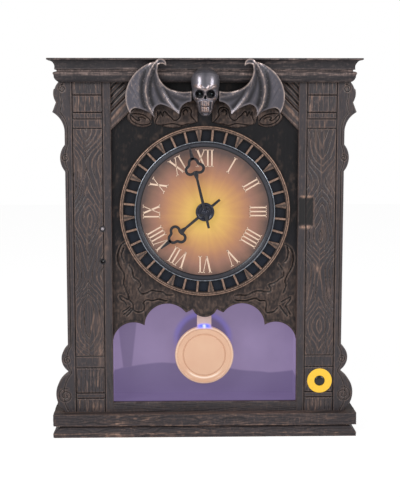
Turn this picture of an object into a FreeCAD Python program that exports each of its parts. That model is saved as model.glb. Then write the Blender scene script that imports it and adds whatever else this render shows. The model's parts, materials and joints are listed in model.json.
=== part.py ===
import FreeCAD, Part
import math
import os

os.makedirs("parts", exist_ok=True)

Vector = FreeCAD.Vector
X_AXIS = Vector(1, 0, 0)
Y_AXIS = Vector(0, 1, 0)
Z_AXIS = Vector(0, 0, 1)

# A mantel clock in millimetres. X runs across, Y to the back and Z up. The origin is the middle of
# the underside of the plinth.

# Whole clock
clock_depth = 104.0
crest_reach = 32.0
back_inset = 4.0
case_half_width = 155.5
case_top = 402.0
neck_rise = 14.0
fascia_y = crest_reach - clock_depth / 2
back_y = clock_depth / 2
case_back_y = back_y - back_inset
neck_top = case_top + neck_rise

# Gaps that many pieces share
overrun = 1.0
seam = 0.3
running_fit = 0.05
press_gap = 0.02

# Flat sides that stand for rounds: screws and their bosses, turned pieces, large rims, and arcs
screw_sides = 6
turned_sides = 14
pipe_sides = 24
rim_sides = 36
arc_chords = 5

# Base: a plinth with a sloped edge under a square ledge
base_half_width = 173.3
base_front_reach = 12.0
plinth_height = 13.6
plinth_edge_height = 4.6
plinth_slope_height = 12.4
plinth_slope_inset = 7.8
ledge_height = 13.4
base_wall = 2.5
ledge_rim = 18.0
ledge_top = plinth_height + ledge_height
base_screw_x = 120.0
base_screw_inset = 17.0
base_screw_gap = 6.0
base_boss_height = 9.0

# Cornice: a bead under a cove
cornice_height = 26.0
cornice_reach = 18.6
cornice_front_share = 0.75
cornice_ledge = 6.0
cornice_roof = 2.6
cornice_profile_shares = [
    (0.32, 0.0),
    (0.54, 0.12, 0.61, 0.30),
    (0.66, 0.37, 0.59, 0.43),
    (0.44, 0.45),
    (0.44, 0.51),
    (0.57, 0.53),
    (0.63, 0.80, 0.95, 0.93),
    (1.0, 0.93),
    (1.0, 1.0),
]

# Front frame: two stiles, a bottom rail, and scalloped ears at the sides
frame_thickness = 2.5
frame_wall = 2.2
frame_skirt_depth = 14.0
scallop_reach = 14.0
opening_half_width = 105.0
stile_width = case_half_width - opening_half_width
sill_z = 38.0
opening_top = 404.0
side_edge_shares = [
    (0.32, 0.0),
    (1.0, 0.060, 0.0, 0.120),
    (0.0, 0.128),
    (0.53, 0.168, 0.0, 0.205),
    (0.0, 0.736),
    (0.386, 0.777, 0.0, 0.816),
    (0.0, 0.855),
    (0.27, 0.888, 0.95, 0.912),
    (0.65, 0.941),
    (0.843, 0.975, 0.52, 1.0),
]
groove_width = 1.2
groove_depth = 0.8
groove_inset = 9.3
groove_margin = 8.0
inner_groove_x = opening_half_width + groove_inset
outer_groove_x = case_half_width - groove_margin
cross_groove_heights = [42.9, 49.1, 78.7, 92.1, 351.0, 361.5, 368.7, 387.9]
brace_foot_z = 347.7
brace_width = 14.0
brace_setback = 1.5
plank_setback = 4.0
plank_groove_pitch = 6.4
plank_groove_width = 2.0
plank_groove_depth = 1.6
notch_width = 16.0
notch_height = 32.6
notch_depth = 1.4
notch_z = 257.3

# Dial panel with its cloud-edged apron
panel_setback = 6.0
panel_thickness = 2.5
panel_flange = 7.0
dial_z = 257.5
dial_hole_radius = 73.0
apron_side_z = 109.0
apron_rise = 42.6
apron_shares = [
    (1.0, 0.0),
    (0.80, 0.49, 0.657, 0.41),
    (0.398, 1.0, 0.205, 0.75),
    (0.132, 0.84),
    (0.108, 0.74),
]
apron_drop_share = 0.63
scroll_thickness = 2.0
scroll_margin = 18.0
scroll_half_width = opening_half_width - scroll_margin
scroll_low_z = 351.6
scroll_height = 30.4
scroll_shares = [
    (0.092, 0.72),
    (0.092, 0.21),
    (0.22, 0.10, 0.345, 0.0),
    (0.50, 0.03, 0.644, 0.14),
    (0.667, 0.34),
    (0.674, 0.50),
    (0.683, 0.34),
    (0.692, 0.12),
    (0.865, 0.045, 0.972, 0.24),
    (1.0, 0.43, 0.95, 0.60),
    (0.80, 1.0),
]

# Bezel and dial
bezel_radius = 96.2
bezel_height = 5.0
bezel_bevel = 1.6
window_ledge = 0.5
window_outer_radius = 92.2
window_inner_radius = 79.2
bezel_bore = 72.5
bezel_web_top = 3.6
bezel_web_floor = 1.4
bezel_inner_height = 4.6
bar_width = 2.6
triangle_base = 8.0
triangle_point = 1.6
window_cells = 36
bezel_turn = -4.4
dial_radius = 77.0
dial_thickness = 2.5

# Dial light
lens_crown_share = 0.55
lens_crown_rise_share = 0.8
reflector_depth = 10.0
reflector_wall = 1.5
reflector_floor_radius = 58.0
light_board_radius = 46.0
light_board_bore = 14.0
light_board_thickness = 1.6
led_radius = 2.5
led_height = 4.5
led_circle_radius = 32.0
dial_led_count = 6

# Movement behind the dial
movement_half = 28.0
movement_depth = 16.0
movement_wall = 1.5
bush_radius = 4.0
bush_reach = 3.3
nut_radius = 6.0
nut_height = 2.5
nut_sides = 6
pipe_radius = 3.0
arbor_radius = 1.5
arbor_reach = 8.5
gear_module = 0.6
gear_flank_angle = 22.0
gear_backlash = 0.12
tooth_addendum_share = 0.8
tooth_dedendum_share = 1.2
cannon_teeth = 10
motion_wheel_teeth = 30
motion_pinion_teeth = 8
hour_wheel_teeth = 32
drive_wheel_teeth = 40
rotor_teeth = 8
wheel_thickness = 1.4
wheel_gap = 0.5
motion_level = 3.0
drive_level = 5.8
motion_post_radius = 0.9
rotor_arbor_radius = 0.7
rotor_radius = 3.2
rotor_length = 3.0
rotor_level = 8.4
stator_level = 9.2
stator_thickness = 1.4
stator_gap = 0.4
stator_half_width = 15.0
stator_leg = 3.0
coil_radius = 2.8
coil_length = 20.0
coil_drop = 8.4

# Hands
hand_thickness = 1.4
hour_hand_clearance = 4.0
minute_hand_clearance = 1.2
hub_radius = 10.6
hub_rim = 2.0
hub_rim_height = 0.8
minute_length = 74.6
minute_trefoil_reach = 52.2
minute_tail = 18.7
minute_angle = -13.4
hour_length = 64.7
hour_trefoil_reach = 42.1
hour_tail = 21.7
hour_angle = 230.2
hand_stem_width = 3.2
hand_neck_width = 2.2
tip_width = 4.6
lobe_radius = 6.3
lobe_stroke = 2.8
lobe_side = 5.0
lobe_drop = 2.6
lobe_rise = 4.3
minute_boss_radius = 5.2
cap_radius = 2.6
cap_height = 1.6

# Pendulum chamber
liner_wall = 1.5
liner_side_gap = 1.0
liner_setback = 26.0
liner_half_width = opening_half_width + liner_side_gap
liner_back_y = back_y - liner_setback
liner_floor_z = 36.5
liner_ceiling_z = 176.0
pivot_z = 168.0
pivot_radius = 1.5
pivot_head_radius = 3.4
pivot_head_height = 1.2
rod_half_width = 8.4
rod_thickness = 1.6
rod_front_y = 8.0
rod_top_share = 0.75
bob_z = 88.0
bob_radius = 34.0
bob_thickness = 7.0
bob_rim = 2.6
bob_ring_radius = 24.5
bob_ring_width = 0.8
bob_relief = 0.8
magnet_radius = 4.0
magnet_length = 3.0
magnet_z = 150.0
drive_gap = 0.8
drive_coil_radius = 8.0
bracket_half_width = 7.0
bracket_half_height = 6.0
chamber_led_xs = [-52.0, 0.0, 52.0]
chamber_board_half_width = 60.0
chamber_board_depth = 8.0

# Try-me button and the two sensors
button_stile_share = 0.5347
button_x = opening_half_width + button_stile_share * stile_width
button_z = 62.3
button_radius = 5.7
button_proud = 1.6
button_flange_radius = 7.2
button_flange = 1.4
button_travel = 2.5
button_stem_radius = 1.7
button_stem = 2.5
button_ring_radius = 14.2
button_ring_thickness = 0.4
button_cup_wall = 1.6
button_cup_depth = 13.5
switch_half = 3.0
switch_height = 4.0
sensor_inset = 10.3
sensor_x = -opening_half_width - sensor_inset
emitter_z = 238.5
receiver_z = 201.6
sensor_radius = 2.5
sensor_hole_gap = 0.3
sensor_length = 6.5
emitter_proud = 1.8
receiver_sunk = 1.0

# Rear housing, its screws, and what it carries
rear_wall = 2.5
post_stile_share = 0.515
post_x = opening_half_width + post_stile_share * stile_width
post_heights = [105.0, 250.0, 375.0]
post_radius = 5.0
screw_head_radius = 2.9
screw_head_height = 2.0
screw_radius = 1.4
screw_grip = 8.5
small_boss_radius = 2.0
small_screw_radius = 0.8
small_head_radius = 1.5
small_head_height = 1.0
panel_screw_heights = [60.0, 150.0, 300.0, 390.0]
speaker_x = 82.0
speaker_z = 330.0
speaker_radius = 28.5
speaker_flange = 2.0
speaker_depth = 17.0
speaker_magnet_radius = 14.0
speaker_wall = 1.0
speaker_ring_wall = 2.0
speaker_ring_height = 4.5
speaker_slot_count = 7
speaker_slot_width = 2.6
speaker_slot_pitch = 6.0
circuit_x = -85.0
circuit_z = 330.0
circuit_half_width = 34.0
circuit_half_height = 24.0
circuit_thickness = 1.6
circuit_standoff = 6.0
circuit_post_radius = 2.6
circuit_post_inset = 4.0
chip_half = 7.0
chip_height = 2.0
capacitor_radius = 4.0
capacitor_height = 9.0
power_x = -75.0
power_z = 130.0
slider_travel = 2.5
slider_half_length = 2.5
slider_half_height = 1.8
slider_proud = 1.2
power_half_length = 9.0
power_half_height = 4.5
power_depth = 5.0

# Battery box
cell_radius = 7.1
cell_length = 49.2
cell_nub_radius = 2.6
cell_nub_length = 1.3
cell_count = 3
cell_pitch = 15.4
cell_gap = 0.4
contact_thickness = 0.5
contact_spring_length = 3.6
battery_wall = 1.5
battery_z = 80.0
door_thickness = 2.2
door_gap = 0.4
door_pin_radius = 0.8
door_pin_length = 2.5
thumb_notch_radius = 7.0

# Crest: skull and wings
skull_back_gap = 9.6
skull_low_z = 365.0
skull_height = 49.6
skull_half_width = 15.6
skull_depth = 22.4
skull_sides = 12
skull_roundness_share = 0.8
skull_shares = [
    (0.000, 0.24, 0.62),
    (0.035, 0.38, 0.78),
    (0.100, 0.50, 0.85),
    (0.200, 0.54, 0.82),
    (0.270, 0.60, 0.82),
    (0.330, 0.76, 0.86),
    (0.400, 0.90, 0.90),
    (0.480, 0.86, 0.87),
    (0.570, 0.93, 0.98),
    (0.650, 0.98, 1.00),
    (0.780, 1.00, 0.94),
    (0.880, 0.88, 0.79),
    (0.955, 0.62, 0.54),
    (1.000, 0.24, 0.20),
]
eye_x = 6.1
eye_z = 388.8
eye_radius = 4.4
eye_sides = 10
eye_floor_radius = 3.0
eye_depth = 6.0
nose_z = 385.6
nose_height = 5.4
nose_half_width = 2.3
nose_depth = 3.0
brow_inner_x = 1.2
brow_outer_x = 12.4
brow_inner_z = 391.2
brow_outer_z = 395.6
brow_height = 3.0
brow_setback = 0.5
brow_depth = 4.0
mouth_z = 374.2
mouth_height = 0.9
tooth_half_row = 6.6
tooth_pitch = 2.2
tooth_gap = 0.5
tooth_height = 7.6
tooth_cut = 2.6
tooth_front_share = 0.82
cheek_hollow_x = 13.2
cheek_hollow_z = 374.5
cheek_hollow_radius = 5.0
eye_led_radius = 1.6
eye_led_height = 2.4
crest_disc_radius = 15.5
crest_disc_z = 402.6
wing_low_z = 363.8
wing_height = 62.3
wing_span = 87.8
wing_thickness = 2.4
wing_foot_gap = 3.0
wing_lean = 12.0
wing_post_x = 60.0
wing_post_z = 408.0
wing_post_radius = 3.5
wing_shares = [
    (0.175, 0.283),
    (0.279, 0.222, 0.329, 0.058),
    (0.433, 0.167, 0.558, 0.233),
    (0.640, 0.164, 0.630, 0.0),
    (0.746, 0.112, 0.878, 0.162),
    (0.929, 0.128, 0.942, 0.055),
    (0.995, 0.244, 0.998, 0.443),
    (0.904, 0.729, 0.626, 0.974),
    (0.520, 1.010, 0.490, 0.904),
    (0.541, 0.939, 0.591, 0.921),
    (0.601, 0.833),
    (0.541, 0.605, 0.379, 0.469),
    (0.273, 0.446, 0.175, 0.462),
]
wing_ridge_shares = [
    (0.175, 0.372, 0.470, 0.520, 0.600, 0.870),
    (0.600, 0.930, 0.550, 0.485, 0.329, 0.058),
    (0.626, 0.955, 0.744, 0.550, 0.630, 0.0),
    (0.626, 0.955, 0.965, 0.640, 0.942, 0.055),
]
ridge_half_width = 2.0
ridge_height = 2.2
ridge_end_share = 0.35
ridge_stations = 5

# Places that follow from the sizes above
panel_y = fascia_y + panel_setback
panel_back_y = panel_y + panel_thickness
plate_back_y = fascia_y + frame_thickness
skirt_back_y = fascia_y + frame_skirt_depth
dial_front_y = panel_y - dial_thickness
reflector_back_y = panel_back_y + reflector_depth
movement_back_y = reflector_back_y + movement_depth
movement_floor_y = reflector_back_y + movement_wall
bush_end_y = dial_front_y - bush_reach
hour_hand_y = dial_front_y - hour_hand_clearance
minute_hand_y = hour_hand_y - hand_thickness - minute_hand_clearance
arbor_end_y = dial_front_y - arbor_reach
rod_back_y = rod_front_y + rod_thickness
skull_back_y = fascia_y - skull_back_gap
rear_inner_y = case_back_y - rear_wall
post_floor_y = skirt_back_y + rear_wall
cornice_top = case_top + cornice_height
rim_turn = math.radians(-bezel_turn)


# Helpers for blocks, rods and outlines

def block(xs, ys, zs):
    return Part.makeBox(xs[1] - xs[0], ys[1] - ys[0], zs[1] - zs[0], Vector(xs[0], ys[0], zs[0]))


def centred(half_width, ys, zs):
    return block((-half_width, half_width), ys, zs)


def rod_y(radius, ys, x=0, z=0, sides=turned_sides, turn=0):
    corners = ring(radius, ys[0], x, z, sides, turn)
    return Part.Face(closed_line(corners)).extrude(Y_AXIS * (ys[1] - ys[0]))


def rod_x(radius, xs, y, z):
    corners = [Vector(xs[0], y + point.x, z + point.z) for point in ring(radius, 0, 0, 0, turned_sides)]
    return Part.Face(closed_line(corners)).extrude(X_AXIS * (xs[1] - xs[0]))


def rod_z(radius, height, place):
    corners = [place + X_AXIS * point.x + Y_AXIS * point.z for point in ring(radius, 0, 0, 0, screw_sides)]
    return Part.Face(closed_line(corners)).extrude(Z_AXIS * height)


def tube_y(radius, bore, ys, x=0, z=0, sides=turned_sides):
    cut_ys = (ys[0] - overrun, ys[1] + overrun)
    return rod_y(radius, ys, x, z, sides).cut(rod_y(bore, cut_ys, x, z, sides))


def closed_line(points):
    return Part.makePolygon(points + points[:1])


def ring(radius, y, x, z, sides, turn=0):
    angles = [turn + 2 * math.pi * index / sides for index in range(sides)]
    return [Vector(x + radius * math.cos(angle), y, z + radius * math.sin(angle)) for angle in angles]


def facets(corners):
    # One flat face, or none where corners that fall together leave no area.
    kept = [point for index, point in enumerate(corners) if point != corners[index - 1]]
    return [Part.Face(closed_line(kept))] if len(kept) > 2 else []


def skin(rings, looped, flat):
    # Faces between rings of matching corners. A loop of rings closes on itself, and other ends are capped.
    faces = []
    for low, high in zip(rings, rings[1:] + (rings[:1] if looped else [])):
        for index in range(len(low)):
            first, second, third, fourth = low[index - 1], low[index], high[index], high[index - 1]
            if flat:
                faces += facets([first, second, third, fourth])
            else:
                faces += facets([first, second, third]) + facets([first, third, fourth])
    if not looped:
        faces += facets(rings[0]) + facets(rings[-1])
    body = Part.makeSolid(Part.makeShell(faces))
    if body.Volume < 0:
        body.reverse()
    return body


def turned(profile, x=0, z=0, sides=turned_sides, turn=0):
    # A profile of (radius, y) corners turned about an axis along Y, in flat sides.
    rings = [ring(radius, y, x, z, sides, turn) for radius, y in profile]
    return skin(rings, True, True).removeSplitter()


def in_xz(y):
    return lambda across, up: Vector(across, y, up)


def in_yz(x):
    return lambda across, up: Vector(x, across, up)


def scaled(shares, start_x, size_x, start_z, size_z):
    steps = []
    for share in shares:
        step = ()
        for across, up in zip(share[0::2], share[1::2]):
            step += (start_x + across * size_x, start_z + up * size_z)
        steps.append(step)
    return steps


def spans(steps):
    # A step is a corner (x, z), or (via x, via z, x, z) for an arc through a middle point.
    found = []
    here = steps[0][-2:]
    for step in steps[1:]:
        middle = step[:2] if len(step) == 4 else None
        found.append((here, middle, step[-2:]))
        here = step[-2:]
    return found


def flip(point):
    return point and (-point[0], point[1])


def mirrored(found):
    return [(flip(end), flip(middle), flip(start)) for start, middle, end in reversed(found)]


def outline(found, place):
    # The corners of an outline, with each arc drawn as chords.
    points = []
    for start, middle, end in found:
        points.append(place(*start))
        if middle:
            arc = Part.Arc(place(*start), place(*middle), place(*end))
            stride = (arc.LastParameter - arc.FirstParameter) / arc_chords
            points += [arc.value(arc.FirstParameter + stride * index) for index in range(1, arc_chords)]
        points.append(place(*end))
    return [point for index, point in enumerate(points) if not point.isEqual(points[index - 1], press_gap)]


def plate(found, ys):
    return Part.Face(closed_line(outline(found, in_xz(ys[0])))).extrude(Y_AXIS * (ys[1] - ys[0]))


def polygon_plate(corners, ys):
    points = [Vector(x, ys[0], z) for x, z in corners]
    return Part.Face(closed_line(points)).extrude(Y_AXIS * (ys[1] - ys[0]))


def both_sides(make):
    return [make(-1), make(1)]


def fused(shapes):
    whole = shapes[0].multiFuse(shapes[1:]) if len(shapes) > 1 else shapes[0]
    return whole.removeSplitter()


def screw(head_radius, head_height, shank_radius, shank_length, y, x, z):
    # A pan-head screw driven forwards: its head's underside is at y.
    head = rod_y(head_radius, (y, y + head_height), x, z, screw_sides)
    return fused([head, rod_y(shank_radius, (y - shank_length, y), x, z, screw_sides)])


def lens(radius, height, y, x, z):
    # A light-emitting diode that points to -Y: a barrel with a stepped dome.
    barrel_y = y - height + radius
    crown_y = barrel_y - radius * lens_crown_rise_share
    profile = [(0, y), (radius, y), (radius, barrel_y), (radius * lens_crown_share, crown_y), (0, y - height)]
    return turned(profile, x, z, screw_sides)


# Mouldings

def moulding(profile, half_width, front_reach_share, z_range):
    # The edge profile runs round the front and both sides with mitred corners, and is flat behind.
    right = spans(profile)
    across = Part.Face(closed_line(outline(right + mirrored(right), in_xz(-back_y))))
    across = across.extrude(Y_AXIS * (back_y + back_y))
    front = [
        tuple(
            fascia_y - (value - half_width) * front_reach_share if index % 2 == 0 else value
            for index, value in enumerate(step)
        )
        for step in profile
    ]
    close = [(back_y, z_range[1]), (back_y, z_range[0])]
    side = Part.Face(closed_line(outline(spans(front + close), in_yz(-base_half_width - overrun))))
    side = side.extrude(X_AXIS * 2 * (base_half_width + cornice_reach))
    return across.common(side)


def make_crown_cornice():
    profile = scaled(cornice_profile_shares, case_half_width, cornice_reach, case_top, cornice_height)
    body = moulding(profile, case_half_width, cornice_front_share, (case_top, cornice_top))
    socket_ys = (fascia_y - seam, case_back_y + seam)
    socket = centred(case_half_width + seam, socket_ys, (case_top - overrun, neck_top))
    inner_ys = (fascia_y + cornice_ledge, case_back_y - cornice_ledge)
    inner_zs = (neck_top - overrun, cornice_top - cornice_roof)
    inner = centred(case_half_width - cornice_ledge, inner_ys, inner_zs)
    return body.cut(socket).cut(inner)


def make_base_plinth():
    top = base_half_width - plinth_slope_inset
    profile = [
        (base_half_width, 0),
        (base_half_width, plinth_edge_height),
        (top, plinth_slope_height),
        (top, plinth_height),
    ]
    reach_share = base_front_reach / (base_half_width - case_half_width)
    body = moulding(profile, case_half_width, reach_share, (0, plinth_height))
    wall = plinth_slope_inset + base_wall
    inner_ys = (fascia_y - base_front_reach + wall, back_y - wall)
    return body.cut(centred(base_half_width - wall, inner_ys, (base_wall, plinth_height + overrun)))


def make_base_ledge():
    front_y = fascia_y - base_front_reach
    body = centred(base_half_width, (front_y, back_y), (plinth_height, ledge_top))
    inner_ys = (front_y + base_wall, back_y - base_wall)
    inner_zs = (plinth_height + base_wall, ledge_top - base_wall)
    inner = centred(base_half_width - base_wall, inner_ys, inner_zs)
    mouth_ys = (front_y + ledge_rim, back_y - ledge_rim)
    mouth_zs = (plinth_height - overrun, plinth_height + base_wall)
    mouth = centred(base_half_width - ledge_rim, mouth_ys, mouth_zs)
    body = body.cut(inner).cut(mouth)
    for place in base_screw_places(ledge_top - base_wall - overrun):
        body = body.cut(rod_z(screw_radius + running_fit, base_wall + 2 * overrun, place))
    return body


def base_screw_places(z):
    # Base screws go up through the ledge into bosses in the rear housing.
    ys = (back_y - base_screw_inset, skirt_back_y + base_screw_gap)
    return [Vector(side * base_screw_x, y, z) for side in (-1, 1) for y in ys]


def make_base_screws():
    made = []
    for place in base_screw_places(ledge_top - base_wall):
        head_low = place - Z_AXIS * screw_head_height
        head = rod_z(screw_head_radius, screw_head_height, head_low)
        made.append(fused([head, rod_z(screw_radius, base_wall + base_boss_height - overrun, place)]))
    return Part.makeCompound(made)


# Front frame

def frame_spans():
    rise = case_top - ledge_top
    edge = scaled(side_edge_shares, case_half_width, scallop_reach, ledge_top, rise)
    edge += [(case_half_width, case_top), (case_half_width, neck_top)]
    right = spans(edge)
    return right + mirrored(right)


def make_brace(side):
    low = brace_foot_z
    high = brace_foot_z + brace_width * math.sqrt(2)
    reach = opening_top - low
    short = opening_top - high
    edge = opening_half_width + frame_wall / 2
    top = opening_top + frame_wall / 2
    corners = [
        (edge, low),
        (edge, high),
        (opening_half_width - short, top),
        (opening_half_width - reach, top),
    ]
    corners = [(side * x, z) for x, z in corners]
    return polygon_plate(corners, (fascia_y + brace_setback, panel_y))


def make_planks(side):
    high = brace_foot_z + brace_width * math.sqrt(2)
    short = opening_top - high
    edge = opening_half_width + frame_wall / 2
    top = opening_top + frame_wall / 2
    front_y = fascia_y + plank_setback
    corners = [(edge, high), (edge, top), (opening_half_width - short, top)]
    body = polygon_plate([(side * x, z) for x, z in corners], (front_y, panel_y))
    count = int(short / math.sqrt(2) / plank_groove_pitch)
    for index in range(1, count + 1):
        offset = index * plank_groove_pitch * math.sqrt(2)
        half = plank_groove_width / math.sqrt(2)
        foot = high + offset
        reach = opening_top + frame_wall - foot
        groove = [
            (edge + frame_wall, foot - half - frame_wall),
            (edge + frame_wall, foot + half - frame_wall),
            (opening_half_width - reach, opening_top + frame_wall + half),
            (opening_half_width - reach, opening_top + frame_wall - half),
        ]
        cut_ys = (front_y - overrun, front_y + plank_groove_depth)
        body = body.cut(polygon_plate([(side * x, z) for x, z in groove], cut_ys))
    return body


def frame_grooves():
    ys = (fascia_y - overrun, fascia_y + groove_depth)
    half = groove_width / 2
    cuts = []
    for side in (-1, 1):
        for x in (inner_groove_x, outer_groove_x):
            cuts.append(block((side * x - half, side * x + half), ys, (ledge_top - overrun, case_top)))
        for z in cross_groove_heights:
            ends = sorted((side * inner_groove_x, side * outer_groove_x))
            cuts.append(block(ends, ys, (z - half, z + half)))
    return cuts


def panel_screw_places():
    x = opening_half_width + (frame_wall + panel_flange) / 2
    return [(side * x, z) for side in (-1, 1) for z in panel_screw_heights]


def make_front_frame():
    body = plate(frame_spans(), (fascia_y, skirt_back_y))
    inside_ys = (plate_back_y, skirt_back_y + overrun)
    inside_zs = (ledge_top + frame_wall, neck_top - frame_wall)
    body = body.cut(centred(case_half_width - frame_wall, inside_ys, inside_zs))
    lip_zs = (sill_z - frame_wall, opening_top + frame_wall)
    lip = centred(opening_half_width + frame_wall, (plate_back_y, panel_y), lip_zs)
    opening_ys = (fascia_y - overrun, panel_y + overrun)
    opening = centred(opening_half_width, opening_ys, (sill_z, opening_top))
    additions = [lip]
    for x, z in panel_screw_places():
        additions.append(rod_y(small_boss_radius, (plate_back_y, panel_y), x, z, screw_sides))
    for x, z in post_places():
        additions.append(rod_y(post_radius, (plate_back_y, skirt_back_y), x, z, screw_sides))
    body = body.multiFuse(additions).cut(opening)
    body = body.multiFuse(both_sides(make_brace) + both_sides(make_planks))
    cuts = frame_grooves()
    bore_ys = (fascia_y - overrun, plate_back_y + overrun)
    hole = sensor_radius + sensor_hole_gap
    cuts += [rod_y(hole, bore_ys, sensor_x, z) for z in (emitter_z, receiver_z)]
    cuts.append(rod_y(button_radius + seam, bore_ys, button_x, button_z))
    notch_xs = (inner_groove_x - notch_width / 2, inner_groove_x + notch_width / 2)
    notch_zs = (notch_z - notch_height / 2, notch_z + notch_height / 2)
    cuts.append(block(notch_xs, (fascia_y - overrun, fascia_y + notch_depth), notch_zs))
    for x, z in panel_screw_places():
        small_ys = (plate_back_y, panel_y + overrun)
        cuts.append(rod_y(small_screw_radius + press_gap, small_ys, x, z, screw_sides))
    for x, z in post_places():
        pilot_ys = (post_floor_y - rear_wall - screw_grip, skirt_back_y + overrun)
        cuts.append(rod_y(screw_radius + press_gap, pilot_ys, x, z, screw_sides))
    return body.cut(Part.makeCompound(cuts)).removeSplitter()


# Dial panel and its applied scroll board

def make_dial_panel():
    outer = opening_half_width + panel_flange
    body = centred(outer, (panel_y, panel_back_y), (sill_z - panel_flange, opening_top + panel_flange))
    cut_ys = (panel_y - overrun, panel_back_y + overrun)
    body = body.cut(rod_y(dial_hole_radius, cut_ys, 0, dial_z, rim_sides, rim_turn))
    steps = scaled(apron_shares, 0, opening_half_width, apron_side_z, apron_rise)
    right = spans([(opening_half_width, sill_z)] + steps)
    left = mirrored(right)
    drop = (0, apron_side_z + apron_drop_share * apron_rise)
    pendant = [(right[-1][2], drop, left[0][0])]
    body = body.cut(plate(right + pendant + left, cut_ys))
    for x, z in panel_screw_places():
        body = body.cut(rod_y(small_screw_radius + running_fit, cut_ys, x, z, screw_sides))
    return body


def make_panel_screws():
    grip = panel_thickness + (panel_y - plate_back_y) - running_fit
    made = [
        screw(small_head_radius, small_head_height, small_screw_radius, grip, panel_back_y, x, z)
        for x, z in panel_screw_places()
    ]
    return Part.makeCompound(made)


def make_scroll_board():
    ys = (panel_y - scroll_thickness, panel_y)
    right = spans(scaled(scroll_shares, 0, scroll_half_width, scroll_low_z, scroll_height))
    return plate(right + mirrored(right), ys)


# Openwork bezel, dial and its light

def at_angle(radius, angle):
    # Angles run clockwise from the top of the dial, as seen from the front.
    return (radius * math.sin(angle), dial_z + radius * math.cos(angle))


def window_cell(start_halves, end_halves, start, end):
    # One window of the bezel between two bars, given by the half widths of the bars at its ends.
    inner = window_inner_radius + window_ledge
    outer = window_outer_radius - window_ledge
    corners = [
        at_angle(inner, start + start_halves[0] / inner),
        at_angle(outer, start + start_halves[1] / outer),
        at_angle(outer, end - end_halves[1] / outer),
        at_angle(inner, end - end_halves[0] / inner),
    ]
    return polygon_plate(corners, (panel_y - bezel_height - overrun, panel_y + overrun))


def make_bezel_ring():
    front_y = panel_y - bezel_height
    rim_mid = (window_outer_radius + bezel_radius) / 2
    rim = [
        (window_outer_radius, panel_y),
        (window_outer_radius, front_y + bezel_bevel),
        (rim_mid, front_y),
        (bezel_radius, front_y + bezel_bevel),
        (bezel_radius, panel_y),
    ]
    web_ys = (panel_y - bezel_web_top, panel_y - bezel_web_floor)
    web = rod_y(rim_mid, web_ys, 0, dial_z, rim_sides, rim_turn)
    hole_ys = (web_ys[0] - overrun, web_ys[1] + overrun)
    web = web.cut(rod_y(window_inner_radius - bezel_bevel, hole_ys, 0, dial_z, rim_sides, rim_turn))
    step = 2 * math.pi / window_cells
    turn = math.radians(bezel_turn)
    bar_halves = (bar_width / 2, bar_width / 2)
    triangle_halves = (triangle_point / 2, triangle_base / 2)
    windows = []
    for index in range(window_cells):
        start_halves = triangle_halves if index % 3 == 0 else bar_halves
        end_halves = triangle_halves if (index + 1) % 3 == 0 else bar_halves
        start = turn + index * step
        windows.append(window_cell(start_halves, end_halves, start, start + step))
    web = web.cut(Part.makeCompound(windows))
    inner_front = panel_y - bezel_inner_height
    seat = dial_radius + seam
    inner = [
        (seat, panel_y),
        (seat, dial_front_y),
        (bezel_bore, dial_front_y),
        (window_inner_radius - bezel_bevel, inner_front),
        (window_inner_radius, inner_front),
        (window_inner_radius, panel_y),
    ]
    rims = [turned(profile, 0, dial_z, rim_sides, rim_turn) for profile in (rim, inner)]
    return fused(rims + [web])


def make_dial_face():
    ys = (dial_front_y, panel_y)
    disc = rod_y(dial_radius, ys, 0, dial_z, rim_sides, rim_turn)
    return disc.cut(rod_y(bush_radius + seam, (ys[0] - overrun, ys[1] + overrun), 0, dial_z))


def make_light_reflector():
    back = reflector_back_y
    profile = [
        (dial_radius, panel_back_y),
        (dial_radius, panel_back_y + reflector_wall),
        (dial_hole_radius + reflector_wall, panel_back_y + reflector_wall),
        (reflector_floor_radius + reflector_wall, back),
        (bush_radius + seam, back),
        (bush_radius + seam, back - reflector_wall),
        (reflector_floor_radius, back - reflector_wall),
        (dial_hole_radius, panel_back_y),
    ]
    return turned(profile, 0, dial_z, pipe_sides)


def make_dial_light_board():
    back = reflector_back_y - reflector_wall
    ys = (back - light_board_thickness, back)
    return tube_y(light_board_radius, light_board_bore, ys, 0, dial_z)


def make_dial_leds():
    y = reflector_back_y - reflector_wall - light_board_thickness
    made = []
    for index in range(dial_led_count):
        x, z = at_angle(led_circle_radius, 2 * math.pi * index / dial_led_count)
        made.append(lens(led_radius, led_height, y, x, z))
    return Part.makeCompound(made)


# Movement

motion_distance = gear_module * (cannon_teeth + motion_wheel_teeth) / 2
rotor_distance = gear_module * (drive_wheel_teeth + rotor_teeth) / 2
rotor_z = dial_z - rotor_distance


def gear(teeth, ys, first_tooth, x=0, z=dial_z):
    # Straight-flanked teeth. Angles run from +X towards +Z.
    pitch_radius = gear_module * teeth / 2
    root = pitch_radius - tooth_dedendum_share * gear_module
    tip = pitch_radius + tooth_addendum_share * gear_module
    half = math.pi / 2 / teeth - gear_backlash / 2 / pitch_radius
    flank = math.tan(math.radians(gear_flank_angle)) * gear_module / pitch_radius
    root_half = half + flank * tooth_dedendum_share
    tip_half = half - flank * tooth_addendum_share
    corners = []
    for index in range(teeth):
        middle = first_tooth + 2 * math.pi * index / teeth
        for radius, angle in ((root, -root_half), (tip, -tip_half), (tip, tip_half), (root, root_half)):
            corners.append((x + radius * math.cos(middle + angle), z + radius * math.sin(middle + angle)))
    return polygon_plate(corners, ys)


def level(start, thickness=wheel_thickness):
    return (movement_floor_y + start, movement_floor_y + start + thickness)


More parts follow.
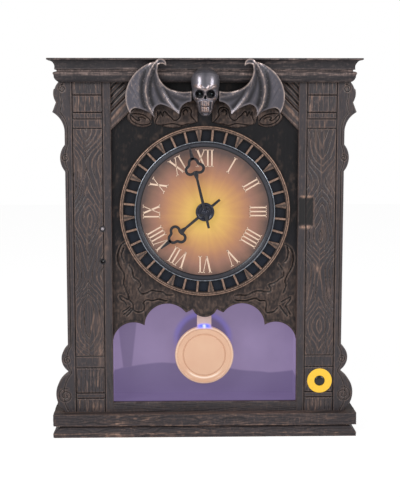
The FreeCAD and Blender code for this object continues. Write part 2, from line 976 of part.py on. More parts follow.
def make_movement_case():
    half = movement_half
    body = centred(half, (reflector_back_y, movement_back_y - movement_wall), (dial_z - half, dial_z + half))
    inner = half - movement_wall
    room_ys = (movement_floor_y, movement_back_y)
    body = body.cut(centred(inner, room_ys, (dial_z - inner, dial_z + inner)))
    post_ys = (movement_floor_y, level(motion_level)[1] + wheel_gap)
    bush = rod_y(bush_radius, (bush_end_y, reflector_back_y), 0, dial_z)
    body = body.multiFuse([bush, rod_y(motion_post_radius, post_ys, motion_distance, dial_z)])
    bore_ys = (bush_end_y - overrun, movement_floor_y + overrun)
    body = body.cut(rod_y(pipe_radius + running_fit, bore_ys, 0, dial_z, pipe_sides))
    socket_ys = (movement_floor_y - movement_wall / 2, movement_floor_y + overrun)
    return body.cut(rod_y(rotor_arbor_radius + running_fit, socket_ys, z=rotor_z))


def make_movement_cover():
    half = movement_half
    ys = (movement_back_y - movement_wall, movement_back_y)
    body = centred(half, ys, (dial_z - half, dial_z + half))
    hole_ys = (ys[0] - overrun, ys[1] + overrun)
    body = body.cut(rod_y(arbor_radius + running_fit, hole_ys, z=dial_z))
    return body.cut(rod_y(rotor_arbor_radius + running_fit, hole_ys, z=rotor_z))


def make_movement_nut():
    ys = (dial_front_y - nut_height, dial_front_y)
    bore_ys = (ys[0] - overrun, ys[1] + overrun)
    body = rod_y(nut_radius, ys, 0, dial_z, nut_sides)
    return body.cut(rod_y(bush_radius + press_gap, bore_ys, 0, dial_z))


def make_minute_arbor():
    back = movement_back_y - running_fit
    pinion = gear(cannon_teeth, level(motion_level), 0)
    return fused([rod_y(arbor_radius, (arbor_end_y, back), z=dial_z), pinion])


def make_drive_wheel():
    ys = level(drive_level)
    body = gear(drive_wheel_teeth, ys, -math.pi / 2 + math.pi / drive_wheel_teeth)
    return body.cut(rod_y(arbor_radius + press_gap, (ys[0] - overrun, ys[1] + overrun), z=dial_z))


def make_motion_wheel():
    wheel_ys = level(motion_level)
    pinion_ys = (level(wheel_gap)[0], wheel_ys[0])
    wheel = gear(motion_wheel_teeth, wheel_ys, math.pi + math.pi / motion_wheel_teeth, motion_distance)
    pinion = gear(motion_pinion_teeth, pinion_ys, math.pi, motion_distance)
    bore_ys = (pinion_ys[0] - overrun, wheel_ys[1] + overrun)
    bore = rod_y(motion_post_radius + running_fit, bore_ys, motion_distance, dial_z)
    return fused([wheel, pinion]).cut(bore)


def make_hour_wheel():
    ys = level(wheel_gap)
    wheel = gear(hour_wheel_teeth, ys, math.pi / hour_wheel_teeth)
    pipe_ys = (hour_hand_y - hand_thickness, ys[1])
    pipe = rod_y(pipe_radius, pipe_ys, 0, dial_z, pipe_sides)
    bore = rod_y(arbor_radius + running_fit, (pipe_ys[0] - overrun, ys[1] + overrun), z=dial_z)
    return fused([wheel, pipe]).cut(bore)


def make_motor_rotor():
    back = movement_back_y - running_fit
    front = movement_floor_y - movement_wall / 2 + running_fit
    arbor = rod_y(rotor_arbor_radius, (front, back), z=rotor_z)
    pinion = gear(rotor_teeth, level(drive_level), math.pi / 2, 0, rotor_z)
    drum = rod_y(rotor_radius, level(rotor_level, rotor_length), 0, rotor_z)
    return fused([arbor, pinion, drum])


coil_z = rotor_z - coil_drop


def make_motor_stator():
    ys = level(stator_level, stator_thickness)
    half_height = rotor_radius + stator_gap + stator_leg / 2
    bar = centred(stator_half_width, ys, (rotor_z - half_height, rotor_z + half_height))
    legs = []
    for side in (-1, 1):
        xs = sorted((side * stator_half_width, side * (stator_half_width - stator_leg)))
        legs.append(block(xs, ys, (coil_z - stator_thickness, rotor_z)))
    core = centred(stator_half_width, ys, (coil_z - stator_thickness, coil_z + stator_thickness))
    hole = rod_y(rotor_radius + stator_gap, (ys[0] - overrun, ys[1] + overrun), 0, rotor_z)
    return fused([bar, core] + legs).cut(hole)


def make_motor_coil():
    ys = level(stator_level, stator_thickness)
    middle_y = (ys[0] + ys[1]) / 2
    body = rod_x(coil_radius, (-coil_length / 2, coil_length / 2), middle_y, coil_z)
    core_zs = (coil_z - stator_thickness, coil_z + stator_thickness)
    return body.cut(centred(coil_length, ys, core_zs))


# Hands are drawn upright about the origin, then turned to the time that they show

def trefoil(reach, ys):
    centres = [(-lobe_side, reach - lobe_drop), (lobe_side, reach - lobe_drop), (0, reach + lobe_rise)]
    cut_ys = (ys[0] - overrun, ys[1] + overrun)
    lobes = [rod_y(lobe_radius, ys, x, z) for x, z in centres]
    holes = [rod_y(lobe_radius - lobe_stroke, cut_ys, x, z, screw_sides) for x, z in centres]
    outer = fused(lobes + [polygon_plate(centres, ys)])
    return outer.cut(fused(holes + [polygon_plate(centres, cut_ys)]))


def hand_blade(length, reach, tail, ys):
    stem_top = reach - lobe_drop
    stem = [
        (-hand_stem_width / 2, 0),
        (-hand_neck_width / 2, -tail),
        (hand_neck_width / 2, -tail),
        (hand_stem_width / 2, 0),
        (hand_neck_width / 2, stem_top),
        (-hand_neck_width / 2, stem_top),
    ]
    tip_low = reach + lobe_rise + lobe_radius - lobe_stroke / 2
    tip = [(-tip_width / 2, tip_low), (tip_width / 2, tip_low), (0, length)]
    loops = trefoil(reach, ys)
    room = reach - lobe_drop - lobe_radius + lobe_stroke / 2
    stem = [(x, min(z, room)) for x, z in stem]
    return fused([polygon_plate(stem, ys), polygon_plate(tip, ys), loops])


def set_hand(shape, angle, bore):
    shape.rotate(Vector(0, 0, 0), Y_AXIS, angle)
    shape.translate(Vector(0, 0, dial_z))
    return shape.cut(bore)


def make_hour_hand():
    ys = (hour_hand_y - hand_thickness, hour_hand_y)
    blade = hand_blade(hour_length, hour_trefoil_reach, hour_tail, ys)
    disc = rod_y(hub_radius, ys)
    rim_ys = (ys[0] - hub_rim_height, ys[0])
    rim = tube_y(hub_radius, hub_radius - hub_rim, rim_ys)
    bore_ys = (rim_ys[0] - overrun, ys[1] + overrun)
    bore = rod_y(pipe_radius + press_gap, bore_ys, 0, dial_z, pipe_sides)
    return set_hand(fused([blade, disc, rim]), hour_angle, bore)


def make_minute_hand():
    ys = (minute_hand_y - hand_thickness, minute_hand_y)
    blade = hand_blade(minute_length, minute_trefoil_reach, minute_tail, ys)
    reach = minute_boss_radius
    boss = polygon_plate([(0, reach), (reach, 0), (0, -reach), (-reach, 0)], ys)
    bore = rod_y(arbor_radius + press_gap, (ys[0] - overrun, ys[1] + overrun), z=dial_z)
    return set_hand(fused([blade, boss]), minute_angle, bore)


def make_hand_cap():
    back = minute_hand_y - hand_thickness
    bore = arbor_radius + press_gap
    profile = [
        (bore, back),
        (cap_radius, back),
        (cap_radius, back - cap_height / 2),
        (cap_radius - cap_height / 2, back - cap_height),
        (0, back - cap_height),
        (0, arbor_end_y - press_gap),
        (bore, arbor_end_y - press_gap),
    ]
    return turned(profile, 0, dial_z)


# Pendulum chamber

def make_chamber_liner():
    outer = liner_half_width + liner_wall
    zs = (liner_floor_z - liner_wall, liner_ceiling_z + liner_wall)
    body = centred(outer, (panel_back_y, liner_back_y + liner_wall), zs)
    room_ys = (panel_back_y - overrun, liner_back_y)
    return body.cut(centred(liner_half_width, room_ys, (liner_floor_z, liner_ceiling_z)))


def make_pendulum_bracket():
    front = rod_back_y + seam
    zs = (pivot_z - bracket_half_height, pivot_z + bracket_half_height)
    body = centred(bracket_half_width, (front, liner_back_y), zs)
    bore_ys = (front - overrun, front + bracket_half_height)
    return body.cut(rod_y(pivot_radius + press_gap, bore_ys, z=pivot_z))


def make_pivot_pin():
    head_back = rod_front_y - seam
    head = rod_y(pivot_head_radius, (head_back - pivot_head_height, head_back), 0, pivot_z)
    shank = rod_y(pivot_radius, (head_back, rod_back_y + bracket_half_height), z=pivot_z)
    return fused([head, shank])


def make_pendulum_rod():
    ys = (rod_front_y, rod_back_y)
    top_half = rod_half_width * rod_top_share
    eye = rod_y(top_half, ys, 0, pivot_z)
    strap = polygon_plate(
        [
            (-rod_half_width, bob_z),
            (rod_half_width, bob_z),
            (rod_half_width, magnet_z - rod_half_width),
            (top_half, pivot_z),
            (-top_half, pivot_z),
            (-rod_half_width, magnet_z - rod_half_width),
        ],
        ys,
    )
    bore_ys = (ys[0] - overrun, ys[1] + overrun)
    return fused([eye, strap]).cut(rod_y(pivot_radius + running_fit, bore_ys, z=pivot_z))


def make_pendulum_bob():
    back = rod_front_y
    front = back - bob_thickness
    profile = [
        (0, back),
        (bob_radius, back),
        (bob_radius, front + bob_relief),
        (bob_radius - bob_relief, front),
        (bob_radius - bob_rim, front),
        (bob_radius - bob_rim - bob_relief, front + bob_relief),
        (bob_ring_radius + bob_ring_width, front + bob_relief),
        (bob_ring_radius, front + 2 * bob_relief),
        (bob_ring_radius - bob_ring_width, front + bob_relief),
        (0, front + bob_relief),
    ]
    return turned(profile, 0, bob_z, pipe_sides)


def make_pendulum_magnet():
    return rod_y(magnet_radius, (rod_back_y, rod_back_y + magnet_length), 0, magnet_z)


def make_drive_coil():
    front = rod_back_y + magnet_length + drive_gap
    return tube_y(drive_coil_radius, magnet_radius / 2, (front, liner_back_y), 0, magnet_z)


def make_chamber_light_board():
    ys = (panel_back_y, panel_back_y + chamber_board_depth)
    return centred(chamber_board_half_width, ys, (liner_ceiling_z - light_board_thickness, liner_ceiling_z))


def make_chamber_leds():
    made = []
    middle_y = panel_back_y + chamber_board_depth / 2
    top = liner_ceiling_z - light_board_thickness
    for x in chamber_led_xs:
        led = lens(led_radius, led_height, 0, x, 0)
        led.rotate(Vector(x, 0, 0), X_AXIS, 90)
        led.translate(Vector(0, middle_y, top))
        made.append(led)
    return Part.makeCompound(made)


# Try-me button and sensors

def make_try_button():
    cap_ys = (fascia_y - button_proud, plate_back_y + seam)
    flange_ys = (cap_ys[1], cap_ys[1] + button_flange)
    stem_ys = (flange_ys[1], flange_ys[1] + button_stem)
    cap = rod_y(button_radius, cap_ys, button_x, button_z)
    flange = rod_y(button_flange_radius, flange_ys, button_x, button_z)
    stem = rod_y(button_stem_radius, stem_ys, button_x, button_z, screw_sides)
    return fused([cap, flange, stem])


def make_button_ring():
    ys = (fascia_y - button_ring_thickness, fascia_y)
    ring_disc = rod_y(button_ring_radius, ys, button_x, button_z, pipe_sides)
    return ring_disc.cut(rod_y(button_radius + seam, (ys[0] - overrun, ys[1] + overrun), button_x, button_z))


def make_button_housing():
    bore = button_flange_radius + seam
    ys = (plate_back_y, plate_back_y + button_cup_depth)
    body = rod_y(bore + button_cup_wall, ys, button_x, button_z)
    room_ys = (ys[0] - overrun, ys[1] - button_cup_wall)
    return body.cut(rod_y(bore, room_ys, button_x, button_z))


def make_button_switch():
    floor = plate_back_y + button_cup_depth - button_cup_wall
    top = floor - switch_height
    xs = (button_x - switch_half, button_x + switch_half)
    body = block(xs, (top, floor), (button_z - switch_half, button_z + switch_half))
    pressed = plate_back_y + seam + button_flange + button_stem + button_travel + seam
    return fused([body, rod_y(button_stem_radius, (pressed, top), button_x, button_z, screw_sides)])


def make_ir_emitter():
    back = plate_back_y + sensor_length
    return lens(sensor_radius, back - fascia_y + emitter_proud, back, sensor_x, emitter_z)


def make_ir_receiver():
    back = plate_back_y + sensor_length
    return lens(sensor_radius, back - fascia_y - receiver_sunk, back, sensor_x, receiver_z)


def make_sensor_holder():
    # One bracket behind the fascia grips both sensors.
    ys = (plate_back_y, plate_back_y + sensor_length / 2)
    low, high = receiver_z, emitter_z
    half = sensor_radius + frame_wall
    body = block((sensor_x - half, sensor_x + sensor_radius), ys, (low - half, high + half))
    for z in (low, high):
        bore_ys = (ys[0] - overrun, ys[1] + overrun)
        body = body.cut(rod_y(sensor_radius + press_gap, bore_ys, sensor_x, z, screw_sides))
    return body


# Rear housing and what is screwed to it

def post_places():
    return [(side * post_x, z) for side in (-1, 1) for z in post_heights]


def circuit_post_places():
    across = circuit_half_width - circuit_post_inset
    up = circuit_half_height - circuit_post_inset
    return [(circuit_x + side * across, circuit_z + rise * up) for side in (-1, 1) for rise in (-1, 1)]


cell_room_half = cell_length / 2 + cell_nub_length + contact_spring_length
battery_half_width = cell_room_half + contact_thickness + battery_wall
battery_half_height = cell_pitch * cell_count / 2 + battery_wall
door_half_width = battery_half_width - battery_wall
door_low_z = battery_z - battery_half_height + battery_wall
door_high_z = battery_z + battery_half_height - battery_wall
door_front_y = case_back_y - door_thickness
battery_front_y = door_front_y - seam - 2 * cell_radius - 2 * cell_gap - battery_wall
circuit_back_y = rear_inner_y - circuit_standoff


def make_rear_housing():
    zs = (ledge_top, neck_top)
    body = centred(case_half_width, (skirt_back_y, case_back_y), zs)
    inner_zs = (ledge_top + rear_wall, neck_top - rear_wall)
    body = body.cut(centred(case_half_width - rear_wall, (skirt_back_y - overrun, rear_inner_y), inner_zs))
    post_ys = (skirt_back_y, rear_inner_y)
    additions = [rod_y(post_radius, post_ys, x, z, screw_sides) for x, z in post_places()]
    for x, z in circuit_post_places():
        additions.append(rod_y(circuit_post_radius, (circuit_back_y, rear_inner_y), x, z, screw_sides))
    for place in base_screw_places(ledge_top + rear_wall):
        additions.append(rod_z(post_radius, base_boss_height - rear_wall, place))
    ring_radius = speaker_radius + seam + speaker_ring_wall
    ring_ys = (rear_inner_y - speaker_ring_height, rear_inner_y)
    additions.append(tube_y(ring_radius, speaker_radius + seam, ring_ys, speaker_x, speaker_z))
    body = body.multiFuse(additions)
    cuts = []
    through_ys = (rear_inner_y - overrun, case_back_y + overrun)
    for x, z in post_places():
        well_ys = (post_floor_y, case_back_y + overrun)
        bore_ys = (skirt_back_y - overrun, post_floor_y + overrun)
        cuts.append(rod_y(screw_head_radius + seam, well_ys, x, z, screw_sides))
        cuts.append(rod_y(screw_radius + running_fit, bore_ys, x, z, screw_sides))
    for x, z in circuit_post_places():
        pilot_ys = (circuit_back_y - overrun, rear_inner_y)
        cuts.append(rod_y(small_screw_radius + press_gap, pilot_ys, x, z, screw_sides))
    for place in base_screw_places(ledge_top - overrun):
        cuts.append(rod_z(screw_radius + press_gap, base_boss_height + overrun, place))
    middle = (speaker_slot_count - 1) / 2
    for index in range(speaker_slot_count):
        offset = (index - middle) * speaker_slot_pitch
        reach = math.sqrt((speaker_radius - speaker_slot_pitch) ** 2 - offset ** 2)
        slot_zs = (speaker_z + offset - speaker_slot_width / 2, speaker_z + offset + speaker_slot_width / 2)
        cuts.append(block((speaker_x - reach, speaker_x + reach), through_ys, slot_zs))
    slot_half = slider_half_length + slider_travel + seam
    slot_zs = (power_z - slider_half_height - seam, power_z + slider_half_height + seam)
    cuts.append(block((power_x - slot_half, power_x + slot_half), through_ys, slot_zs))
    door_zs = (door_low_z - door_gap, door_high_z + door_gap)
    cuts.append(centred(door_half_width + door_gap, through_ys, door_zs))
    pin_half = door_half_width + door_pin_length
    pin_z = door_low_z + door_thickness / 2
    pin_y = door_front_y + door_thickness / 2
    pin_xs = (-pin_half - door_gap, pin_half + door_gap)
    cuts.append(rod_x(door_pin_radius + running_fit, pin_xs, pin_y, pin_z))
    notch_ys = (case_back_y - rear_wall / 2, case_back_y + overrun)
    cuts.append(rod_y(thumb_notch_radius, notch_ys, 0, door_high_z))
    for cut in cuts:
        body = body.cut(cut)
    return body.removeSplitter()


def make_case_screws():
    grip = rear_wall + screw_grip - overrun
    made = [
        screw(screw_head_radius, screw_head_height, screw_radius, grip, post_floor_y, x, z)
        for x, z in post_places()
    ]
    return Part.makeCompound(made)


def make_speaker_basket():
    front = rear_inner_y - speaker_depth
    profile = [
        (speaker_radius, rear_inner_y),
        (speaker_radius, rear_inner_y - speaker_flange),
        (speaker_magnet_radius + speaker_wall, front + speaker_depth / 2),
        (speaker_magnet_radius, front + speaker_depth / 2),
        (speaker_magnet_radius, front),
        (0, front),
        (0, front + speaker_depth / 2 + speaker_wall),
        (speaker_magnet_radius, front + speaker_depth / 2 + speaker_wall),
        (speaker_radius - speaker_flange, rear_inner_y - speaker_flange),
        (speaker_radius - speaker_flange, rear_inner_y),
    ]
    return turned(profile, speaker_x, speaker_z)


def make_speaker_cone():
    low = rear_inner_y - speaker_depth / 2 + speaker_wall
    high = rear_inner_y - speaker_wall
    rim = speaker_radius - speaker_flange
    profile = [
        (0, low),
        (0, low + speaker_wall),
        (speaker_magnet_radius / 2, low + speaker_wall),
        (rim - speaker_wall, high),
        (rim, high),
        (rim, high - speaker_wall),
        (speaker_magnet_radius, low),
    ]
    return turned(profile, speaker_x, speaker_z)


def make_circuit_board():
    ys = (circuit_back_y - circuit_thickness, circuit_back_y)
    xs = (circuit_x - circuit_half_width, circuit_x + circuit_half_width)
    body = block(xs, ys, (circuit_z - circuit_half_height, circuit_z + circuit_half_height))
    for x, z in circuit_post_places():
        hole_ys = (ys[0] - overrun, ys[1] + overrun)
        body = body.cut(rod_y(small_screw_radius + running_fit, hole_ys, x, z, screw_sides))
    return body


def make_board_components():
    face = circuit_back_y - circuit_thickness
    chip_xs = (circuit_x - chip_half, circuit_x + chip_half)
    chip = block(chip_xs, (face - chip_height, face), (circuit_z - chip_half, circuit_z + chip_half))
    capacitor_place = circuit_x + chip_half + 2 * capacitor_radius
    capacitor_ys = (face - capacitor_height, face)
    capacitor = rod_y(capacitor_radius, capacitor_ys, capacitor_place, circuit_z)
    return Part.makeCompound([chip, capacitor])


def make_board_screws():
    made = []
    face = circuit_back_y - circuit_thickness
    for x, z in circuit_post_places():
        head = rod_y(small_head_radius, (face - small_head_height, face), x, z, screw_sides)
        shank_ys = (face, circuit_back_y + circuit_standoff - running_fit)
        made.append(fused([head, rod_y(small_screw_radius, shank_ys, x, z, screw_sides)]))
    return Part.makeCompound(made)


def make_power_switch():
    ys = (rear_inner_y - power_depth, rear_inner_y)
    xs = (power_x - power_half_length, power_x + power_half_length)
    body = block(xs, ys, (power_z - power_half_height, power_z + power_half_height))
    slot_half = slider_half_length + slider_travel + seam
    room_zs = (power_z - slider_half_height - seam, power_z + slider_half_height + seam)
    room_ys = (rear_inner_y - power_depth / 2, rear_inner_y + overrun)
    return body.cut(block((power_x - slot_half, power_x + slot_half), room_ys, room_zs))


def make_power_slider():
    centre = power_x - slider_travel
    ys = (rear_inner_y - power_depth / 2 + seam, case_back_y + slider_proud)
    zs = (power_z - slider_half_height, power_z + slider_half_height)
    return block((centre - slider_half_length, centre + slider_half_length), ys, zs)


# Battery box, its cells and door

def make_battery_box():
    ys = (battery_front_y, rear_inner_y)
    zs = (battery_z - battery_half_height, battery_z + battery_half_height)
    body = centred(battery_half_width, ys, zs)
    room_zs = (zs[0] + battery_wall, zs[1] - battery_wall)
    room_ys = (ys[0] + battery_wall, ys[1] + overrun)
    return body.cut(centred(battery_half_width - battery_wall, room_ys, room_zs))


def cell_middles():
    middle = (cell_count - 1) / 2
    y = battery_front_y + battery_wall + cell_gap + cell_radius
    return [(y, battery_z + (index - middle) * cell_pitch) for index in range(cell_count)]


def make_batteries():
    made = []
    for index, (y, z) in enumerate(cell_middles()):
        facing = 1 if index % 2 == 0 else -1
        shift = facing * (contact_spring_length - contact_thickness) / 2
        half = cell_length / 2
        can = rod_x(cell_radius, (shift - half, shift + half), y, z)
        nub = sorted((shift + facing * half, shift + facing * (half + cell_nub_length)))
        made.append(fused([can, rod_x(cell_nub_radius, nub, y, z)]))
    return Part.makeCompound(made)


def make_battery_contacts():
    made = []
    wall = battery_half_width - battery_wall
    for index, (y, z) in enumerate(cell_middles()):
        facing = 1 if index % 2 == 0 else -1
        shift = facing * (contact_spring_length - contact_thickness) / 2
        half_span = cell_radius / math.sqrt(2)
        ys = (y - half_span, y + half_span)
        zs = (z - half_span, z + half_span)
        nub_end = shift + facing * (cell_length / 2 + cell_nub_length)
        made.append(block(sorted((nub_end, facing * wall)), ys, zs))
        can_end = shift - facing * cell_length / 2
        leaf = -facing * (wall - contact_thickness)
        plate_part = block(sorted((-facing * wall, leaf)), ys, zs)
        rings = [
            [Vector(x, y + point.x, z + point.z) for point in ring(radius, 0, 0, 0, turned_sides)]
            for x, radius in ((leaf, cell_radius / 2), (can_end, cell_nub_radius))
        ]
        made.append(fused([plate_part, skin(rings, False, True)]))
    return Part.makeCompound(made)


def make_battery_door():
    half_thick = door_thickness / 2
    hinge_y = door_front_y + half_thick
    hinge_z = door_low_z + half_thick
    leaf = centred(door_half_width, (door_front_y, case_back_y), (hinge_z, door_high_z))
    barrel = rod_x(half_thick, (-door_half_width, door_half_width), hinge_y, hinge_z)
    pin_half = door_half_width + door_pin_length
    pin = rod_x(door_pin_radius, (-pin_half, pin_half), hinge_y, hinge_z)
    return fused([leaf, barrel, pin])


# Crest

def skull_section(height_share, width_share, depth_share):
    # One level of the skull: flat behind and rounded in front.
    half_width = width_share * skull_half_width
    depth = depth_share * skull_depth
    z = skull_low_z + height_share * skull_height
    points = []
    for index in range(skull_sides + 1):
        angle = math.pi * index / skull_sides
        across = math.copysign(abs(math.cos(angle)) ** skull_roundness_share, math.cos(angle))
        out = math.sin(angle) ** skull_roundness_share if 0 < index < skull_sides else 0
        points.append(Vector(half_width * across, skull_back_y - depth * out, z))
    return points


def skull_form():
    return skin([skull_section(*shares) for shares in skull_shares], False, False)


def make_skull():
    body = skull_form()
    front_y = skull_back_y - skull_depth
    brow_ys = (front_y + brow_setback, front_y + brow_setback + brow_depth)
    additions = []
    cuts = []
    for side in (-1, 1):
        brow = [
            (side * brow_inner_x, brow_inner_z),
            (side * brow_outer_x, brow_outer_z),
            (side * brow_outer_x, brow_outer_z + brow_height / 2),
            (side * brow_inner_x, brow_inner_z + brow_height),
        ]
        additions.append(polygon_plate(brow, brow_ys))
        mouth = ring(eye_radius, front_y - overrun, side * eye_x, eye_z, eye_sides)
        floor = ring(eye_floor_radius, front_y + eye_depth + brow_depth, side * eye_x, eye_z, eye_sides)
        cuts.append(skin([mouth, floor], False, True))
        hollow_ys = (front_y - overrun, skull_back_y + overrun)
        cuts.append(rod_y(cheek_hollow_radius, hollow_ys, side * cheek_hollow_x, cheek_hollow_z, eye_sides))
    nose = [(0, nose_z), (nose_half_width, nose_z - nose_height), (-nose_half_width, nose_z - nose_height)]
    cuts.append(polygon_plate(nose, (front_y, front_y + nose_depth + brow_depth)))
    tooth_ys = (front_y, skull_back_y - skull_depth * tooth_front_share + tooth_cut)
    cuts.append(centred(tooth_half_row, tooth_ys, (mouth_z - mouth_height / 2, mouth_z + mouth_height / 2)))
    count = int(tooth_half_row / tooth_pitch)
    for index in range(-count, count + 1):
        xs = (index * tooth_pitch - tooth_gap / 2, index * tooth_pitch + tooth_gap / 2)
        cuts.append(block(xs, tooth_ys, (mouth_z - tooth_height / 2, mouth_z + tooth_height / 2)))
    body = body.multiFuse(additions)
    for cut in cuts:
        body = body.cut(cut)
    return body.removeSplitter()


def make_eye_leds():
    socket_floor = skull_back_y - skull_depth + eye_depth + brow_depth
    made = [lens(eye_led_radius, eye_led_height, socket_floor, side * eye_x, eye_z) for side in (-1, 1)]
    return Part.makeCompound(made)


def make_crest_mount():
    # The backing disc between the panel and the skull, notched round the cornice.
    disc = rod_y(crest_disc_radius, (skull_back_y, panel_y), 0, crest_disc_z, pipe_sides)
    return disc.cut(make_crown_cornice()).cut(frame_clearance())


def frame_clearance():
    ys = (fascia_y - seam, panel_y + overrun)
    return centred(case_half_width, ys, (opening_top - seam, neck_top))


def ridge(start, via, end, scale_z):
    # A tapering spine on the front of a wing, drawn along an arc.
    arc = Part.Arc(*(Vector(x, -wing_thickness, z) for x, z in (start, via, end)))
    first, last = arc.FirstParameter, arc.LastParameter
    sections = []
    for index in range(ridge_stations):
        share = index / (ridge_stations - 1)
        parameter = first + share * (last - first)
        point = arc.value(parameter)
        along = arc.tangent(parameter)[0]
        across = along.cross(Y_AXIS)
        across.normalize()
        size = 1 - share * (1 - ridge_end_share)
        corners = [
            point + across * ridge_half_width * size + Y_AXIS * scale_z,
            point - Y_AXIS * ridge_height * size,
            point - across * ridge_half_width * size + Y_AXIS * scale_z,
        ]
        sections.append(corners)
    return skin(sections, False, False)


def make_wing(side):
    lean = math.atan(wing_lean / wing_height)
    stretch = wing_height / math.cos(lean)
    found = spans(scaled(wing_shares, 0, wing_span, 0, stretch))
    parts = [plate(found, (-wing_thickness, 0))]
    for shares in wing_ridge_shares:
        points = [(shares[i] * wing_span, shares[i + 1] * stretch) for i in (0, 2, 4)]
        parts.append(ridge(*points, wing_thickness / 2))
    wing = fused(parts)
    wing.rotate(Vector(0, 0, 0), X_AXIS, math.degrees(lean))
    wing.translate(Vector(0, fascia_y - wing_foot_gap, wing_low_z))
    back_at_post = fascia_y - wing_foot_gap - (wing_post_z - wing_low_z) * math.tan(lean)
    post_ys = (back_at_post - wing_thickness / 2, fascia_y - seam)
    wing = fused([wing, rod_y(wing_post_radius, post_ys, wing_post_x, wing_post_z, screw_sides)])
    if side < 0:
        wing = wing.mirror(Vector(0, 0, 0), X_AXIS)
    return wing.cut(make_crown_cornice()).cut(skull_form())


# Every node of the clock

nodes = {
    "front_frame": make_front_frame,
    "dial_panel": make_dial_panel,
    "scroll_board": make_scroll_board,
    "bezel_ring": make_bezel_ring,
    "dial_face": make_dial_face,
    "light_reflector": make_light_reflector,
    "dial_light_board": make_dial_light_board,
    "dial_leds": make_dial_leds,
    "crown_cornice": make_crown_cornice,
    "base_ledge": make_base_ledge,
    "base_plinth": make_base_plinth,
    "rear_housing": make_rear_housing,
    "chamber_liner": make_chamber_liner,
    "chamber_light_board": make_chamber_light_board,
    "chamber_leds": make_chamber_leds,
    "battery_box": make_battery_box,
    "battery_door": make_battery_door,
    "batteries": make_batteries,
    "battery_contacts": make_battery_contacts,
    "speaker_basket": make_speaker_basket,
    "speaker_cone": make_speaker_cone,
    "circuit_board": make_circuit_board,
    "board_components": make_board_components,
    "power_switch": make_power_switch,
    "power_slider": make_power_slider,
    "movement_case": make_movement_case,
    "movement_cover": make_movement_cover,
    "movement_nut": make_movement_nut,
    "motor_stator": make_motor_stator,
    "motor_coil": make_motor_coil,
    "motor_rotor": make_motor_rotor,
    "minute_arbor": make_minute_arbor,
    "drive_wheel": make_drive_wheel,
    "motion_wheel": make_motion_wheel,
    "hour_wheel": make_hour_wheel,
    "hour_hand": make_hour_hand,
    "minute_hand": make_minute_hand,
    "hand_cap": make_hand_cap,
    "try_button": make_try_button,
    "button_ring": make_button_ring,
    "button_housing": make_button_housing,
    "button_switch": make_button_switch,
    "ir_emitter": make_ir_emitter,
    "ir_receiver": make_ir_receiver,
    "sensor_holder": make_sensor_holder,
    "skull": make_skull,
    "eye_leds": make_eye_leds,
    "wing_left": lambda: make_wing(-1),
    "wing_right": lambda: make_wing(1),
    "crest_mount": make_crest_mount,
    "pendulum_rod": make_pendulum_rod,
    "pendulum_bob": make_pendulum_bob,
    "pendulum_magnet": make_pendulum_magnet,
    "pendulum_bracket": make_pendulum_bracket,
    "pivot_pin": make_pivot_pin,
    "drive_coil": make_drive_coil,
    "case_screws": make_case_screws,
    "panel_screws": make_panel_screws,
    "base_screws": make_base_screws,
    "board_screws": make_board_screws,
}

for name, make in nodes.items():
    shape = make()
    shape.exportStep("parts/" + name + ".step")
    print(name, len(shape.Solids), round(shape.Volume / 1000, 2), shape.isValid())
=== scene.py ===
import json
import math

import bmesh
import bpy
import numpy as np
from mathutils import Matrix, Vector


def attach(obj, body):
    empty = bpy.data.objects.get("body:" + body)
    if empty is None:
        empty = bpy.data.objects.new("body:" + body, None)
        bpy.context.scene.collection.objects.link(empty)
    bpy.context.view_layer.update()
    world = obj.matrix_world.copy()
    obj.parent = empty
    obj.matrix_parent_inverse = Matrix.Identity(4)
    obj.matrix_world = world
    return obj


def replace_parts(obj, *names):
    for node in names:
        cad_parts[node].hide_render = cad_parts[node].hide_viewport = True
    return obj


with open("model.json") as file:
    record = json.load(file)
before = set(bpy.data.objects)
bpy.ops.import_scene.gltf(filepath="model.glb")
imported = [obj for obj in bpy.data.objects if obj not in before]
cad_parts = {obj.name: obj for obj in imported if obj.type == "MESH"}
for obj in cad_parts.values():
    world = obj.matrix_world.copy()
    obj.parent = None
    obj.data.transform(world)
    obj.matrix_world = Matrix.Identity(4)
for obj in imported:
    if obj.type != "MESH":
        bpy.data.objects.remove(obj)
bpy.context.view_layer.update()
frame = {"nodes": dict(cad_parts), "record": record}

nodes = frame["nodes"]
mm = 0.001
colourA, colourB = 6, 7  # the two colour sockets of a Mix node
seamRatio = 1e-6  # nearer to the turning line than this is on it

print("stage: helpers")


def linear(hexColour):
    parts = [int(hexColour[place : place + 2], 16) / 255 for place in (1, 3, 5)]
    return [part / 12.92 if part <= 0.04045 else ((part + 0.055) / 1.055) ** 2.4 for part in parts] + [1.0]


def addNode(tree, kind, inputs=None, stops=None, **settings):
    # A node given as an input stands for its first output in use.
    node = tree.nodes.new(kind)
    for name, value in settings.items():
        setattr(node, name, value)
    for key, value in (inputs or {}).items():
        if isinstance(value, bpy.types.Node):
            value = next(socket for socket in value.outputs if socket.enabled)
        if isinstance(value, bpy.types.NodeSocket):
            tree.links.new(value, node.inputs[key])
        else:
            node.inputs[key].default_value = linear(value) if isinstance(value, str) else value
    for index, (place, colour) in enumerate(stops or []):
        elements = node.color_ramp.elements
        stop = elements[index] if index < len(elements) else elements.new(place)
        stop.position = place
        stop.color = linear(colour) if isinstance(colour, str) else [colour, colour, colour, 1.0]
    return node


def newMaterial(name):
    material = bpy.data.materials.new(name)
    material.use_nodes = True
    tree = material.node_tree
    tree.nodes.clear()
    return material, tree, addNode(tree, "ShaderNodeTexCoord").outputs["Object"]


def finishMaterial(material, sockets):
    shader = addNode(material.node_tree, "ShaderNodeBsdfPrincipled", sockets)
    addNode(material.node_tree, "ShaderNodeOutputMaterial", {"Surface": shader})
    return material


def perSize(size):
    return 1 / (size * mm)  # texture scale for a pattern of that many millimetres


